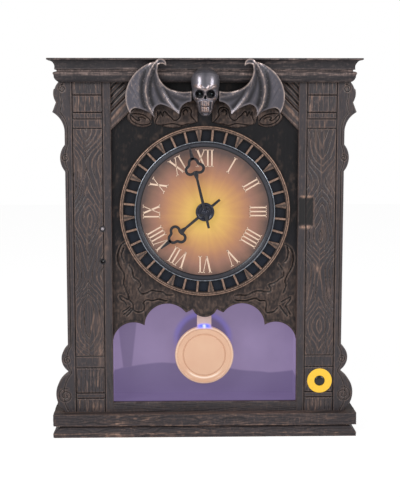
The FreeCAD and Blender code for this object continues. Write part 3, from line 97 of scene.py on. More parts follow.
def newObject(name, data):
    made = bpy.data.objects.new(name, data)
    bpy.context.scene.collection.objects.link(made)
    return made


def setMark(mesh, mark, amounts):
    mesh.attributes.new(mark, "FLOAT", "POINT").data.foreach_set("value", np.asarray(amounts, np.float32))


def makePiece(name, points, faces, marks=None, **dressing):
    mesh = bpy.data.meshes.new(name)
    mesh.from_pydata((np.asarray(points, float) * mm).tolist(), [], [list(map(int, face)) for face in faces])
    for mark in ("wear", "darkAndShade") if marks else ():
        setMark(mesh, mark, marks[mark])
    return dress(newObject(name, mesh), **dressing)


def dress(piece, slot=None, material=None, body="case", sharp=40, node=None):
    # A piece has its slot's own material unless it is given another.
    work = bmesh.new()
    work.from_mesh(piece.data)
    bmesh.ops.recalc_face_normals(work, faces=work.faces)
    work.to_mesh(piece.data)
    work.free()
    piece.data.shade_smooth()
    piece.data.set_sharp_from_angle(angle=math.radians(sharp))
    piece.data.materials.clear()
    piece.data.materials.append(material or slotMaterials[slot])
    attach(piece, body)
    label(piece, node)
    return piece


def label(piece, node):
    if node:
        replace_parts(piece, node)


def joined(name, pieces, node):
    # Several made pieces of one body become one.
    keep = pieces[0]
    with bpy.context.temp_override(active_object=keep, selected_editable_objects=pieces, object=keep):
        bpy.ops.object.join()
    keep.name = name
    keep.data.name = name
    label(keep, node)


def sideName(word, side):
    return word + ("Right" if side > 0 else "Left")


def noise(x, z, sizeX, sizeZ, seed):
    # Smooth value noise from 0 to 1, with its patches' sizes in mm.
    u, v = x / sizeX, z / sizeZ
    left, low = np.floor(u), np.floor(v)
    across, up = u - left, v - low
    across, up = across**2 * (3 - 2 * across), up**2 * (3 - 2 * up)

    def hashed(stepX, stepZ):
        value = np.sin((left + stepX) * 127.1 + (low + stepZ) * 311.7 + seed * 74.7) * 43758.5453
        return value - np.floor(value)

    bottom = hashed(0, 0) * (1 - across) + hashed(1, 0) * across
    top = hashed(0, 1) * (1 - across) + hashed(1, 1) * across
    return bottom * (1 - up) + top * up


def softStep(value, low, high):
    share = np.clip((value - low) / (high - low), 0, 1)
    return share**2 * (3 - 2 * share)


def peak(gap, width):
    return np.exp(-((gap / width) ** 2))


def bands(value, pitch):
    return 0.5 + 0.5 * np.cos(2 * math.pi * value / pitch)


def turned(point, turn, centre):
    # Turned clockwise, as the front shows it, then moved to its centre.
    (x, z), cos, sin = point, math.cos(turn), math.sin(turn)
    return centre[0] + x * cos + z * sin, centre[1] - x * sin + z * cos


def arcThrough(start, middle, end, chord):
    (ax, az), (bx, bz), (cx, cz) = start, middle, end
    a, b, c = ax**2 + az**2, bx**2 + bz**2, cx**2 + cz**2
    twice = 2 * (ax * (bz - cz) + bx * (cz - az) + cx * (az - bz))
    centreX = (a * (bz - cz) + b * (cz - az) + c * (az - bz)) / twice
    centreZ = (a * (cx - bx) + b * (ax - cx) + c * (bx - ax)) / twice
    radius = math.hypot(ax - centreX, az - centreZ)
    first, second, third = [math.atan2(z - centreZ, x - centreX) for x, z in (start, middle, end)]
    sweep = (third - first) % (2 * math.pi)
    if (second - first) % (2 * math.pi) > sweep:
        sweep -= 2 * math.pi
    count = max(3, int(abs(sweep) * radius / chord))
    angles = [first + sweep * n / count for n in range(1, count + 1)]
    return [(centreX + radius * math.cos(angle), centreZ + radius * math.sin(angle)) for angle in angles]


def tracePath(shares, startX, spanX, startZ, spanZ, chord=1.0):
    # A pair is a straight run's end; four numbers are an arc's middle and end.
    starts, spans = (startX, startZ) * 2, (spanX, spanZ) * 2
    path = []
    for share in shares:
        step = tuple(starts[n] + spans[n] * value for n, value in enumerate(share))
        path += [step] if len(step) == 2 else arcThrough(path[-1], step[:2], step[2:], chord)
    return path


def mirrored(path):
    return [(-x, z) for x, z in reversed(path)]


def smoothLine(points, per):
    # A smooth curve through the points, with so many steps from each to the next.
    points = [np.array(p, float) for p in points]
    ends = [2 * points[0] - points[1]] + points + [2 * points[-1] - points[-2]]
    line = []
    for a, b, c, d in zip(ends, ends[1:], ends[2:], ends[3:]):
        for n in range(per):
            t = n / per
            bend = (2 * a - 5 * b + 4 * c - d) * t**2 + (3 * b - a - 3 * c + d) * t**3
            line.append(0.5 * (2 * b + (c - a) * t + bend))
    return np.array(line + [points[-1]])


def spiral(centre, outer, inner, turns, start):
    count = int(14 * turns)
    made = []
    for share in np.arange(count + 1) / count:
        radius = outer + (inner - outer) * share
        angle = start - 2 * math.pi * turns * share
        made.append((centre[0] + radius * math.cos(angle), centre[1] + radius * math.sin(angle)))
    return made


def nearestOn(points, start, end):
    # The share of a straight run at which each point's nearest point lies, and that point.
    along = end - start
    share = np.clip((points - start) @ along / max(along @ along, 1e-9), 0, 1)
    return share, start + share[:, None] * along


def lineDistance(points, lines, reach):
    found = np.full(len(points), float(reach))
    for line in lines:
        line = np.asarray(line, float)
        near = np.all((points > line.min(0) - reach) & (points < line.max(0) + reach), axis=1)
        some, best = points[near], found[near]
        for start, end in zip(line[:-1], line[1:]):
            best = np.minimum(best, np.hypot(*(some - nearestOn(some, start, end)[1]).T))
        found[near] = best
    return found


def newRelief(x, z):
    # What carving does to each point of a face: height, wear that shows copper, and darkness (dark coat and
    # painted shade).
    points = np.stack([np.ravel(x), np.ravel(z)], 1)
    return {"points": points} | {name: np.zeros(len(points)) for name in ("lift", "wear", "darkAndShade")}


def carve(relief, lift=0.0, wear=0.0, darkAndShade=0.0):
    relief["lift"] = relief["lift"] + lift
    relief["wear"] = np.maximum(relief["wear"], wear)
    relief["darkAndShade"] = np.maximum(relief["darkAndShade"], darkAndShade)


def cutLines(relief, lines, width, depth, rim):
    # Grooves darkened with painted shade over the dark coat, half as wide as it says on each side, with
    # dry-brushed rims.
    gap = lineDistance(relief["points"], lines, 3.2 * width) / width
    edge = rim * np.exp(-((1.9 * (gap - 1.5)) ** 2))
    carve(relief, -depth * np.exp(-2 * gap**2), edge, np.exp(-1.6 * gap**2))


def roundEdge(relief, gap, radius, wear):
    share = np.clip(1 - gap / radius, 0, 1)
    carve(relief, -radius * (1 - np.sqrt(np.clip(1 - share**2, 0, 1))), wear * share)


def slabFaces(mask):
    rows, columns = mask.shape
    front = np.arange((rows + 1) * (columns + 1)).reshape(rows + 1, columns + 1)
    back = front + front.size
    here, after = slice(0, -1), slice(1, None)
    corners = (here, here), (here, after), (after, after), (after, here)
    sheets = (front, corners), (back, corners[::-1])
    quads = [np.stack([sheet[corner][mask] for corner in order], 1) for sheet, order in sheets]
    framed = np.pad(mask, 1)
    besides = framed[:-2, 1:-1], framed[1:-1, 2:], framed[2:, 1:-1], framed[1:-1, :-2]
    for beside, a, b in zip(besides, corners, corners[1:] + corners[:1]):
        edge = mask & ~beside
        quads.append(np.stack([front[b][edge], front[a][edge], back[a][edge], back[b][edge]], 1))
    return np.vstack(quads)


def slab(name, x, z, faceY, backY, mask, relief, place=None, **dressing):
    # A plate from a grid of points: a carved face, a flat back, and walls round every edge and hole.
    depths = (faceY - relief["lift"], np.full(x.size, float(backY)))
    points = np.vstack([np.stack([x.ravel(), depth, z.ravel()], 1) for depth in depths])
    if place:
        points = place(points)
    faces = slabFaces(mask)
    used, renumbered = np.unique(faces, return_inverse=True)
    marks = {mark: np.tile(relief[mark], 2)[used] for mark in ("wear", "darkAndShade")}
    return makePiece(name, points[used], renumbered.reshape(faces.shape), marks, **dressing)


def insideOf(points, loop):
    inside = np.zeros(len(points), bool)
    for (ax, az), (bx, bz) in zip(loop, np.roll(loop, -1, axis=0)):
        if az == bz:
            continue
        crosses = (points[:, 1] < az) != (points[:, 1] < bz)
        inside ^= crosses & (points[:, 0] < ax + (points[:, 1] - az) * (bx - ax) / (bz - az))
    return inside


def fillOutline(loop, step):
    # A grid over an outline, with its border points moved onto the outline.
    loop = np.asarray(loop, float)
    low, high = loop.min(0) - step, loop.max(0) + 2 * step
    x, z = np.meshgrid(np.arange(low[0], high[0], step), np.arange(low[1], high[1], step))
    middles = np.stack([x[:-1, :-1].ravel(), z[:-1, :-1].ravel()], 1) + step / 2
    mask = insideOf(middles, loop).reshape(x.shape[0] - 1, x.shape[1] - 1)
    framed = np.pad(mask, 1).astype(int)
    count = framed[:-1, :-1] + framed[:-1, 1:] + framed[1:, :-1] + framed[1:, 1:]
    border = (count > 0) & (count < 4)
    points = np.stack([x[border], z[border]], 1)
    best, moved = np.full(len(points), 1e9), points.copy()
    for start, end in zip(loop, np.roll(loop, -1, axis=0)):
        near = nearestOn(points, start, end)[1]
        gap = np.hypot(*(points - near).T)
        closer = gap < best
        best[closer], moved[closer] = gap[closer], near[closer]
    x[border], z[border] = moved.T
    return x, z, mask


def tubeFaces(rings, count, closed=False):
    faces = []
    for ring in range(rings if closed else rings - 1):
        first, second = ring * count, (ring + 1) % rings * count
        for n in range(count):
            m = (n + 1) % count
            faces.append([first + n, first + m, second + m, second + n])
    if not closed:
        faces += [list(range(count))[::-1], [(rings - 1) * count + n for n in range(count)]]
    return faces


def lathe(name, profile, centre=(0, 0), sides=96, **dressing):
    # Turned round a line along Y: the profile gives radius and depth, and closes on itself.
    profile = np.asarray(profile, float)
    count = len(profile)
    turns = np.arange(sides) * 2 * math.pi / sides
    x = centre[0] + np.outer(np.sin(turns), profile[:, 0])
    z = centre[1] + np.outer(np.cos(turns), profile[:, 0])
    points = np.stack([x, np.broadcast_to(profile[:, 1], x.shape), z], 2).reshape(-1, 3)
    kept = [n % count if profile[n % count, 0] < seamRatio else n for n in range(len(points))]
    faces = [list(dict.fromkeys(kept[corner] for corner in face)) for face in tubeFaces(sides, count, True)]
    faces = [face for face in faces if len(face) > 2]
    used = sorted({corner for face in faces for corner in face})
    renumber = {corner: place for place, corner in enumerate(used)}
    faces = [[renumber[corner] for corner in face] for face in faces]
    return makePiece(name, points[used], faces, **dressing)


def curveOver(points, count=5):
    # Rounds the corners of a profile with short arcs, given as (radius, depth, rounding).
    made = []
    for n, (radius, depth, rounding) in enumerate(points):
        here = np.array([radius, depth])
        if not rounding:
            made.append(here)
            continue
        before = np.array(points[n - 1][:2]) - here
        after = np.array(points[(n + 1) % len(points)][:2]) - here
        first = here + before / np.linalg.norm(before) * rounding
        last = here + after / np.linalg.norm(after) * rounding
        for t in np.arange(count) / (count - 1):
            made.append((1 - t) ** 2 * first + 2 * t * (1 - t) * here + t**2 * last)
    return made


def prism(name, outline, backY, frontY, bevel, turn=0, centre=(0, 0), **dressing):
    work = bmesh.new()
    placed = [turned(point, turn, centre) for point in outline]
    front, back = [[work.verts.new((x * mm, y * mm, z * mm)) for x, z in placed] for y in (frontY, backY)]
    work.faces.new(front)
    work.faces.new(back[::-1])
    for n in range(len(placed)):
        m = (n + 1) % len(placed)
        work.faces.new((front[n], back[n], back[m], front[m]))
    rims = [edge for edge in work.edges if all(corner in front for corner in edge.verts)]
    bmesh.ops.bevel(work, geom=rims, offset=bevel * mm, segments=2, profile=0.5, affect="EDGES")
    mesh = bpy.data.meshes.new(name)
    work.to_mesh(mesh)
    work.free()
    return dress(newObject(name, mesh), **dressing)


print("stage: materials")

resinPaint = {
    "face": "#383336",
    "lowFace": "#262225",
    "darkAndShadeTone": "#0a090a",
    "copper": "#96796a",
    "fleckSize": 2.2,  # real flecks are 0.3 mm; drawn coarser so that they show
    "patchSize": 42.0,
    "roughness": 0.44,
    "specular": 0.36,
    "flecks": 0.35,
    "metal": (0.0, 0.45),
    "bump": 0.3,
    "ring": None,
}


def distanceFrom(tree, coords, centre):
    # How far a point is from a centre, as the front shows them.
    flat = addNode(tree, "ShaderNodeVectorMath", {0: coords, 1: (1, 0, 1)}, operation="MULTIPLY")
    spot = (centre[0] * mm, 0, centre[1] * mm)
    return addNode(tree, "ShaderNodeVectorMath", {0: flat, 1: spot}, operation="DISTANCE")


def gapFrom(tree, value, place):
    off = addNode(tree, "ShaderNodeMath", {0: value, 1: place * mm}, operation="SUBTRACT")
    return addNode(tree, "ShaderNodeMath", {0: off}, operation="ABSOLUTE")


def paintLayers(tree, tone, measures, layers):
    # Lays colours over a tone. Each has its fades: what is measured, from and to in mm, and the
    # shares there. The last layer's share comes back too.
    for colour, fades in layers:
        share = None
        for measure, start, end, first, last, *way in fades:
            spread = {"Value": measures[measure], "From Min": start * mm, "From Max": end * mm}
            ends, kind = {"To Min": first, "To Max": last}, way[0] if way else "SMOOTHSTEP"
            fade = addNode(tree, "ShaderNodeMapRange", spread | ends, interpolation_type=kind)
            both = {0: share, 1: fade}
            share = fade if share is None else addNode(tree, "ShaderNodeMath", both, operation="MULTIPLY")
        tone = addNode(tree, "ShaderNodeMix", {0: share, colourA: tone, colourB: colour}, data_type="RGBA")
    return tone, share


def paintedResin(name, **changes):
    # Moulded resin, sprayed dark and dry-brushed with copper: a dull face, near-black recesses from the
    # bare dark coat with painted shade over it, and warm metal flecks on the rims.
    paint = resinPaint | changes
    material, tree, coords = newMaterial(name)
    marks = [addNode(tree, "ShaderNodeAttribute", attribute_name=mark) for mark in ("wear", "darkAndShade")]
    wear, darkAndShade = [mark.outputs["Fac"] for mark in marks]
    stretched = addNode(tree, "ShaderNodeMapping", {"Vector": coords, "Scale": (1.0, 1.0, 0.35)})
    grit = {"Vector": stretched, "Scale": perSize(paint["fleckSize"]), "Detail": 4.0, "Roughness": 0.65}
    fine = addNode(tree, "ShaderNodeTexNoise", grit)
    clouds = {"Vector": coords, "Scale": perSize(paint["patchSize"]), "Detail": 3.0}
    broad = addNode(tree, "ShaderNodeTexNoise", clouds)
    flecks = addNode(tree, "ShaderNodeValToRGB", {"Fac": fine}, [(0.54, 0.0), (0.72, 1.0)])
    patches = addNode(tree, "ShaderNodeValToRGB", {"Fac": broad}, [(0.40, 0.15), (0.66, 1.0)])
    broken = addNode(tree, "ShaderNodeValToRGB", {"Fac": fine}, [(0.36, 0.30), (0.60, 1.0)])
    sparse = addNode(tree, "ShaderNodeMath", {0: flecks, 1: patches}, operation="MULTIPLY")
    dusted = addNode(tree, "ShaderNodeMath", {0: sparse, 1: paint["flecks"]}, operation="MULTIPLY")
    rims = addNode(tree, "ShaderNodeMath", {0: wear, 1: broken}, operation="MULTIPLY")
    either = addNode(tree, "ShaderNodeMath", {0: rims, 1: dusted}, operation="MAXIMUM")
    clear = addNode(tree, "ShaderNodeMath", {0: 1.0, 1: darkAndShade}, operation="SUBTRACT")
    copper = addNode(tree, "ShaderNodeMath", {0: either, 1: clear}, operation="MULTIPLY", use_clamp=True)
    tones = {0: broad, colourA: paint["lowFace"], colourB: paint["face"]}
    face = addNode(tree, "ShaderNodeMix", tones, data_type="RGBA")
    # Painted shade in its own tint, with no copper, in a ring where the bezel's windows lie over the face.
    if paint["ring"]:
        centre, inner, outer, tint = paint["ring"]
        away = gapFrom(tree, distanceFrom(tree, coords, (0, centre)), (inner + outer) / 2)
        half = (outer - inner) / 2
        layer = (tint, [("gap", half, half + 4, 1.0, 0.0, "LINEAR")])
        face, inside = paintLayers(tree, face, {"gap": away}, [layer])
        plain = addNode(tree, "ShaderNodeMath", {0: 1.0, 1: inside}, operation="SUBTRACT")
        copper = addNode(tree, "ShaderNodeMath", {0: copper, 1: plain}, operation="MULTIPLY")
    # The darkness mark lays on the bare dark coat and painted shade in one near-black colour.
    for share, tint in ((darkAndShade, paint["darkAndShadeTone"]), (copper, paint["copper"])):
        face = addNode(tree, "ShaderNodeMix", {0: share, colourA: face, colourB: tint}, data_type="RGBA")
    shine = {"Value": copper, "To Min": paint["metal"][0], "To Max": paint["metal"][1]}
    height = {"Height": fine, "Strength": 0.35, "Distance": paint["bump"] * mm}
    return finishMaterial(material, {
        "Base Color": face,
        "Metallic": addNode(tree, "ShaderNodeMapRange", shine),
        "Roughness": paint["roughness"],
        "Specular IOR Level": paint["specular"],
        "Normal": addNode(tree, "ShaderNodeBump", height),
    })


def plainMoulding(name, colour, dark, roughness, grain, depth, **sockets):
    # A moulded or sprayed part: one colour that drifts a little, under a fine skin texture.
    material, tree, coords = newMaterial(name)
    skin, drift = [
        addNode(tree, "ShaderNodeTexNoise", {"Vector": coords, "Scale": perSize(size), "Detail": 2.0})
        for size in (grain, 30.0)
    ]
    tones = {0: drift, colourA: dark, colourB: colour}
    spread = {"Value": skin, "To Min": roughness - 0.05, "To Max": roughness + 0.08}
    height = {"Height": skin, "Strength": 0.3, "Distance": depth * mm}
    return finishMaterial(material, {
        "Base Color": addNode(tree, "ShaderNodeMix", tones, data_type="RGBA"),
        "Roughness": addNode(tree, "ShaderNodeMapRange", spread),
        "Normal": addNode(tree, "ShaderNodeBump", height),
    } | {socket.replace("_", " "): value for socket, value in sockets.items()})


dialLight = {
    # The glow centres a little below the dial, for the bezel's painted shade at the top.
    "centre": (0.0, 0.2540),
    "radius": 73.0,
    "stops": [
        (0.0, "#e1bc5a"),
        (0.25, "#d8ac5a"),
        (0.45, "#c49157"),
        (0.62, "#ab7857"),
        (0.77, "#926756"),
        (0.89, "#775648"),
        (1.0, "#4d3a36"),
    ],
    "base": 0.35,
    "glow": 0.62,
}


def litDialSheet():
    # Printed translucent styrene with the lamps behind painted on as glow: golden in the middle, and
    # smoky pink at the rim, darkened there by painted shade from the bezel.
    material, tree, coords = newMaterial("printedDialSheetPaintedGlow")
    centre = (dialLight["centre"][0], 0, dialLight["centre"][1])
    centred = addNode(tree, "ShaderNodeVectorMath", {0: coords, 1: centre}, operation="SUBTRACT")
    flat = addNode(tree, "ShaderNodeVectorMath", {0: centred, 1: (1, 0, 1)}, operation="MULTIPLY")
    away = addNode(tree, "ShaderNodeVectorMath", {0: flat}, operation="LENGTH")
    ray = addNode(tree, "ShaderNodeVectorMath", {0: flat}, operation="NORMALIZE")
    rays = addNode(tree, "ShaderNodeTexNoise", {"Vector": ray, "Scale": 9.0, "Detail": 3.0})
    cloud = addNode(tree, "ShaderNodeTexNoise", {"Vector": coords, "Scale": perSize(16.0), "Detail": 3.0})
    reach = {"Value": away, "From Max": dialLight["radius"] * mm, "To Max": 1.0}
    share = addNode(tree, "ShaderNodeMapRange", reach)
    sway = addNode(tree, "ShaderNodeMath", {0: rays, 1: cloud}, operation="ADD")
    drift = {"Value": sway, "From Min": 0.6, "From Max": 1.4, "To Min": -0.05, "To Max": 0.05}
    shift = addNode(tree, "ShaderNodeMapRange", drift)
    spread = addNode(tree, "ShaderNodeMath", {0: share, 1: shift}, operation="ADD", use_clamp=True)
    paintedLight = addNode(tree, "ShaderNodeValToRGB", {"Fac": spread}, dialLight["stops"])
    return litStyrene(material, paintedLight, dialLight["base"], dialLight["glow"], 0.55)


def litStyrene(material, paintedLight, base, glow, roughness):
    # Painted glow: emission in the painted colour stands in for the lamps behind or beside it, over a dim
    # body.
    body = {0: base, colourA: "#000000", colourB: paintedLight}
    return finishMaterial(material, {
        "Base Color": addNode(material.node_tree, "ShaderNodeMix", body, data_type="RGBA"),
        "Emission Color": paintedLight,
        "Emission Strength": glow,
        "Roughness": roughness,
    })


chamberLight = {
    # Painted light: lilac where the lamps reach, greyer in the rail's painted shadow, and the painted
    # shadows' colour.
    "high": "#8f7da4",
    "low": "#71628a",
    "shade": "#66587c",
    "shadowEdgeHeights": [
        (-107, 65.1), (-98, 67.5), (-77, 71), (-43, 73.4), (33, 66), (72, 61.9), (84, 61.3), (110, 63.8)
    ],
    "bobShadowAt": (-1.0, 101.0),
    "bobShadowEdge": 31.5,
    "shadowBlotchX": -90.5,
    "layers": [  # colour and its fades, as paintLayers takes them
        # painted shadow blotch at the left, above the wavy edge
        ("#66587c", [("shadowBlotch", -1, 1.5, 0.0, 0.62), ("above", -1.2, 1.4, 0.0, 1.0)]),
        # painted shadow of the bob
        ("#66587c", [("away", 28, 32, 0.85, 0.0)]),
        # painted blue light along the edge of the bob's shadow, growing upwards
        ("#7268c0", [("shadowFringe", 0, 6, 0.6, 0.0), ("height", 86, 112, 0.0, 1.0, "LINEAR")]),
        # painted indigo shade along the front, at the sill
        ("#21185c", [("depth", -10.5, -6, 1.0, 0.0, "LINEAR")]),
    ],
    "base": 0.3,
    "glow": 0.66,
}


def litChamberWall():
    # Smooth styrene with the violet lamps' light painted on as glow: pale lilac above, greyer below a soft
    # wavy edge in a painted shadow, darker behind the bob in its painted shadow with a blue painted fringe,
    # a painted shadow blotch at the left, and painted indigo shade along the front.
    material, tree, coords = newMaterial("litStyreneWall")
    x, y, z = addNode(tree, "ShaderNodeSeparateXYZ", {0: coords}).outputs
    across = addNode(tree, "ShaderNodeMapRange", {"Value": x, "From Min": -0.11, "From Max": 0.11})
    edge = [((place + 110) / 220, (height - 55) / 25) for place, height in chamberLight["shadowEdgeHeights"]]
    level = addNode(tree, "ShaderNodeValToRGB", {"Fac": across}, edge)
    level.color_ramp.interpolation = "CARDINAL"
    lift = addNode(tree, "ShaderNodeMapRange", {"Value": level, "To Min": 55 * mm, "To Max": 80 * mm})
    widen = {"Value": z, "From Min": 66 * mm, "From Max": 124 * mm, "To Min": 5 * mm, "To Max": 11.5 * mm}
    width = addNode(tree, "ShaderNodeMapRange", widen)
    aside = gapFrom(tree, x, chamberLight["shadowBlotchX"])
    away = distanceFrom(tree, coords, chamberLight["bobShadowAt"])
    measures = {
        "above": addNode(tree, "ShaderNodeMath", {0: z, 1: lift}, operation="SUBTRACT"),
        "shadowBlotch": addNode(tree, "ShaderNodeMath", {0: width, 1: aside}, operation="SUBTRACT"),
        "away": away,
        "shadowFringe": gapFrom(tree, away, chamberLight["bobShadowEdge"]),
        "height": z,
        "depth": y,
    }
    low, high, shade = [chamberLight[name] for name in ("low", "high", "shade")]
    # Painted shadow of the bottom rail: the wall keeps the greyer tone below the wavy edge.
    tone, _ = paintLayers(tree, low, measures, [(high, [("above", -1.2, 1.4, 0.0, 1.0)])])
    cloud = addNode(tree, "ShaderNodeTexNoise", {"Vector": coords, "Scale": perSize(34.0), "Detail": 2.0})
    cloudy = {"Value": cloud, "From Min": 0.35, "From Max": 0.75, "To Max": 0.22}
    patch = addNode(tree, "ShaderNodeMapRange", cloudy)
    mottled = addNode(tree, "ShaderNodeMix", {0: patch, colourA: tone, colourB: shade}, data_type="RGBA")
    paintedLight, _ = paintLayers(tree, mottled, measures, chamberLight["layers"])
    return litStyrene(material, paintedLight, chamberLight["base"], chamberLight["glow"], 0.5)


pendulumGlow = {
    "skin": "#d9b396",
    "warm": "#cd9f84",
    "centre": (0, 88.0),
    "blueReflectionAt": (0, 121.4),
    "rings": {"line": 24.4, "crescentHighlight": 26.8, "edge": 33.0, "flare": 34.0},
    "layers": [  # colour and its fades, as paintLayers takes them
        # painted shade on the lower edge
        ("#b98c72", [("away", 26.5, 34, 0.0, 0.75), ("height", 64, 80, 1.0, 0.0)]),
        # painted shade in the ring groove
        ("#a9785f", [("line", 0, 0.9, 0.4, 0.0)]),
        # painted highlight: a crescent below the ring, low on the bob
        ("#f6dfcd", [("crescentHighlight", 0, 1.6, 0.95, 0.0), ("height", 63, 72, 1.0, 0.0)]),
        # painted highlight along the rim
        ("#f6dfcd", [("edge", 0, 1.0, 0.45, 0.0)]),
        ("#ceb1aa", [("height", 118, 124, 0.0, 1.0)]),
        # painted reflection of the blue lamp on the bob's top, where the rod meets it
        ("#5a6cf0", [
            ("flare", 0, 3.6, 1.0, 0.0),
            ("aside", 3, 12, 1.0, 0.0),
            ("height", 112, 118, 0.0, 1.0),
        ]),
    ],
    # painted white glint in that reflection
    "core": ("#f4f7ff", [("spot", 0, 3, 1.0, 0.0)]),
    "base": 0.66,
    "glow": (0.3, 0.9),
}


def litPendulum():
    # Pale glossy styrene with the lamps' light painted on: painted shade in the dark ring line with a
    # painted highlight crescent below it, painted shade on the lower edge, a painted highlight on the rim,
    # and a blue flare, a painted reflection of the blue lamp with a white painted glint, where the rod meets
    # the bob.
    material, tree, coords = newMaterial("glossyPendulumStyrene")
    x, _, z = addNode(tree, "ShaderNodeSeparateXYZ", {0: coords}).outputs
    away = distanceFrom(tree, coords, pendulumGlow["centre"])
    spot = distanceFrom(tree, coords, pendulumGlow["blueReflectionAt"])
    measures = {"away": away, "height": z, "aside": gapFrom(tree, x, 0), "spot": spot}
    measures |= {ring: gapFrom(tree, away, radius) for ring, radius in pendulumGlow["rings"].items()}
    cloud = addNode(tree, "ShaderNodeTexNoise", {"Vector": coords, "Scale": perSize(28.0), "Detail": 2.0})
    tones = {0: cloud, colourA: pendulumGlow["warm"], colourB: pendulumGlow["skin"]}
    tone = addNode(tree, "ShaderNodeMix", tones, data_type="RGBA")
    paintedLightTone, flare = paintLayers(tree, tone, measures, pendulumGlow["layers"])
    glintedTone, _ = paintLayers(tree, paintedLightTone, measures, [pendulumGlow["core"]])
    low, high = pendulumGlow["glow"]
    body = {0: pendulumGlow["base"], colourA: "#000000", colourB: paintedLightTone}
    return finishMaterial(material, {
        "Base Color": addNode(tree, "ShaderNodeMix", body, data_type="RGBA"),
        "Emission Color": glintedTone,
        "Emission Strength": addNode(
            tree, "ShaderNodeMapRange", {"Value": flare, "To Min": low, "To Max": high}
        ),
        "Roughness": 0.3,
    })


def wornMetal(name, colour, dark, roughness, grain):
    # Bare or plated metal: a fine grain in its shine, a little duller in patches.
    material, tree, coords = newMaterial(name)
    fine = addNode(tree, "ShaderNodeTexNoise", {"Vector": coords, "Scale": perSize(grain), "Detail": 3.0})
    patch = addNode(tree, "ShaderNodeTexNoise", {"Vector": coords, "Scale": perSize(14.0), "Detail": 2.0})
    spread = {"Value": fine, "To Min": roughness - 0.08, "To Max": roughness + 0.12}
    tones = {0: patch, colourA: dark, colourB: colour}
    return finishMaterial(material, {
        "Base Color": addNode(tree, "ShaderNodeMix", tones, data_type="RGBA"),
        "Roughness": addNode(tree, "ShaderNodeMapRange", spread),
        "Metallic": 1.0,
    })


def windingWire(name, colour, dark, pitch):
    # Enamelled copper wire wound in close turns: fine bright and dark bands.
    material, tree, coords = newMaterial(name)
    turns = {"Vector": coords, "Scale": perSize(pitch) / 20, "Distortion": 0.4}
    wave = addNode(tree, "ShaderNodeTexWave", turns, bands_direction="DIAGONAL").outputs["Fac"]
    tones = {0: wave, colourA: dark, colourB: colour}
    return finishMaterial(material, {
        "Base Color": addNode(tree, "ShaderNodeMix", tones, data_type="RGBA"),
        "Normal": addNode(tree, "ShaderNodeBump", {"Height": wave, "Strength": 0.6, "Distance": 0.1 * mm}),
        "Metallic": 0.6,
        "Roughness": 0.35,
    })


panelPaint = {
    "face": "#141318",
    "lowFace": "#0c0b10",
    "copper": "#786358",
    "specular": 0.22,
    "ring": (257.5, 80.0, 91.5, "#0d1420"),  # painted shade, blue-dark, under the bezel's windows
}
mouldingPaint = {
    "face": "#2d2a2d",
    "lowFace": "#1e1c1e",
    "copper": "#8f7c76",
    "flecks": 0.25,
    "roughness": 0.58,
    "specular": 0.22,
}
rimPaint = {
    "face": "#3a302c",
    "lowFace": "#282220",
    "copper": "#a58675",
    "fleckSize": 1.6,
    "flecks": 0.5,
    "metal": (0.2, 0.6),
}
innerRimPaint = {
    "face": "#3a3b42",
    "lowFace": "#2b2b31",
    "copper": "#9aa0aa",
    "flecks": 0.1,
    "metal": (0.3, 0.7),
    "roughness": 0.3,
}
wingPaint = {
    "face": "#67646d",
    "lowFace": "#413f46",
    "darkAndShadeTone": "#141316",
    "copper": "#c2ab9e",
    "roughness": 0.34,
    "specular": 0.5,
    "flecks": 0.45,
    "metal": (0.6, 0.8),
}
skullPaint = wingPaint | {
    "face": "#87858e",
    "lowFace": "#6c6a73",
    "copper": "#b08f7c",
    "roughness": 0.33,
    "flecks": 0.12,
    "metal": (0.7, 0.75),
    "bump": 0.05,
}
mouldingResin = paintedResin("greyBrushedResin", **mouldingPaint)
baseResin = paintedResin("flatBrushedResin", roughness=0.56, specular=0.26)
bezelSteel = paintedResin("blueGreyLacquer", **innerRimPaint)
skullLacquer = paintedResin("polishedGunmetal", **skullPaint)
inkGlow = {"Emission_Color": "#cab3a0", "Emission_Strength": 0.12}
violetGlow = {"Emission_Color": "#9a78f0", "Emission_Strength": 1.2}
numeralInk = plainMoulding("screenPrintedInk", "#cab3a0", "#b59a86", 0.6, 0.5, 0.01, **inkGlow)
hubLacquer = plainMoulding("blueBlackLacquer", "#2c2f3d", "#1f212c", 0.25, 0.6, 0.02, Metallic=0.4)

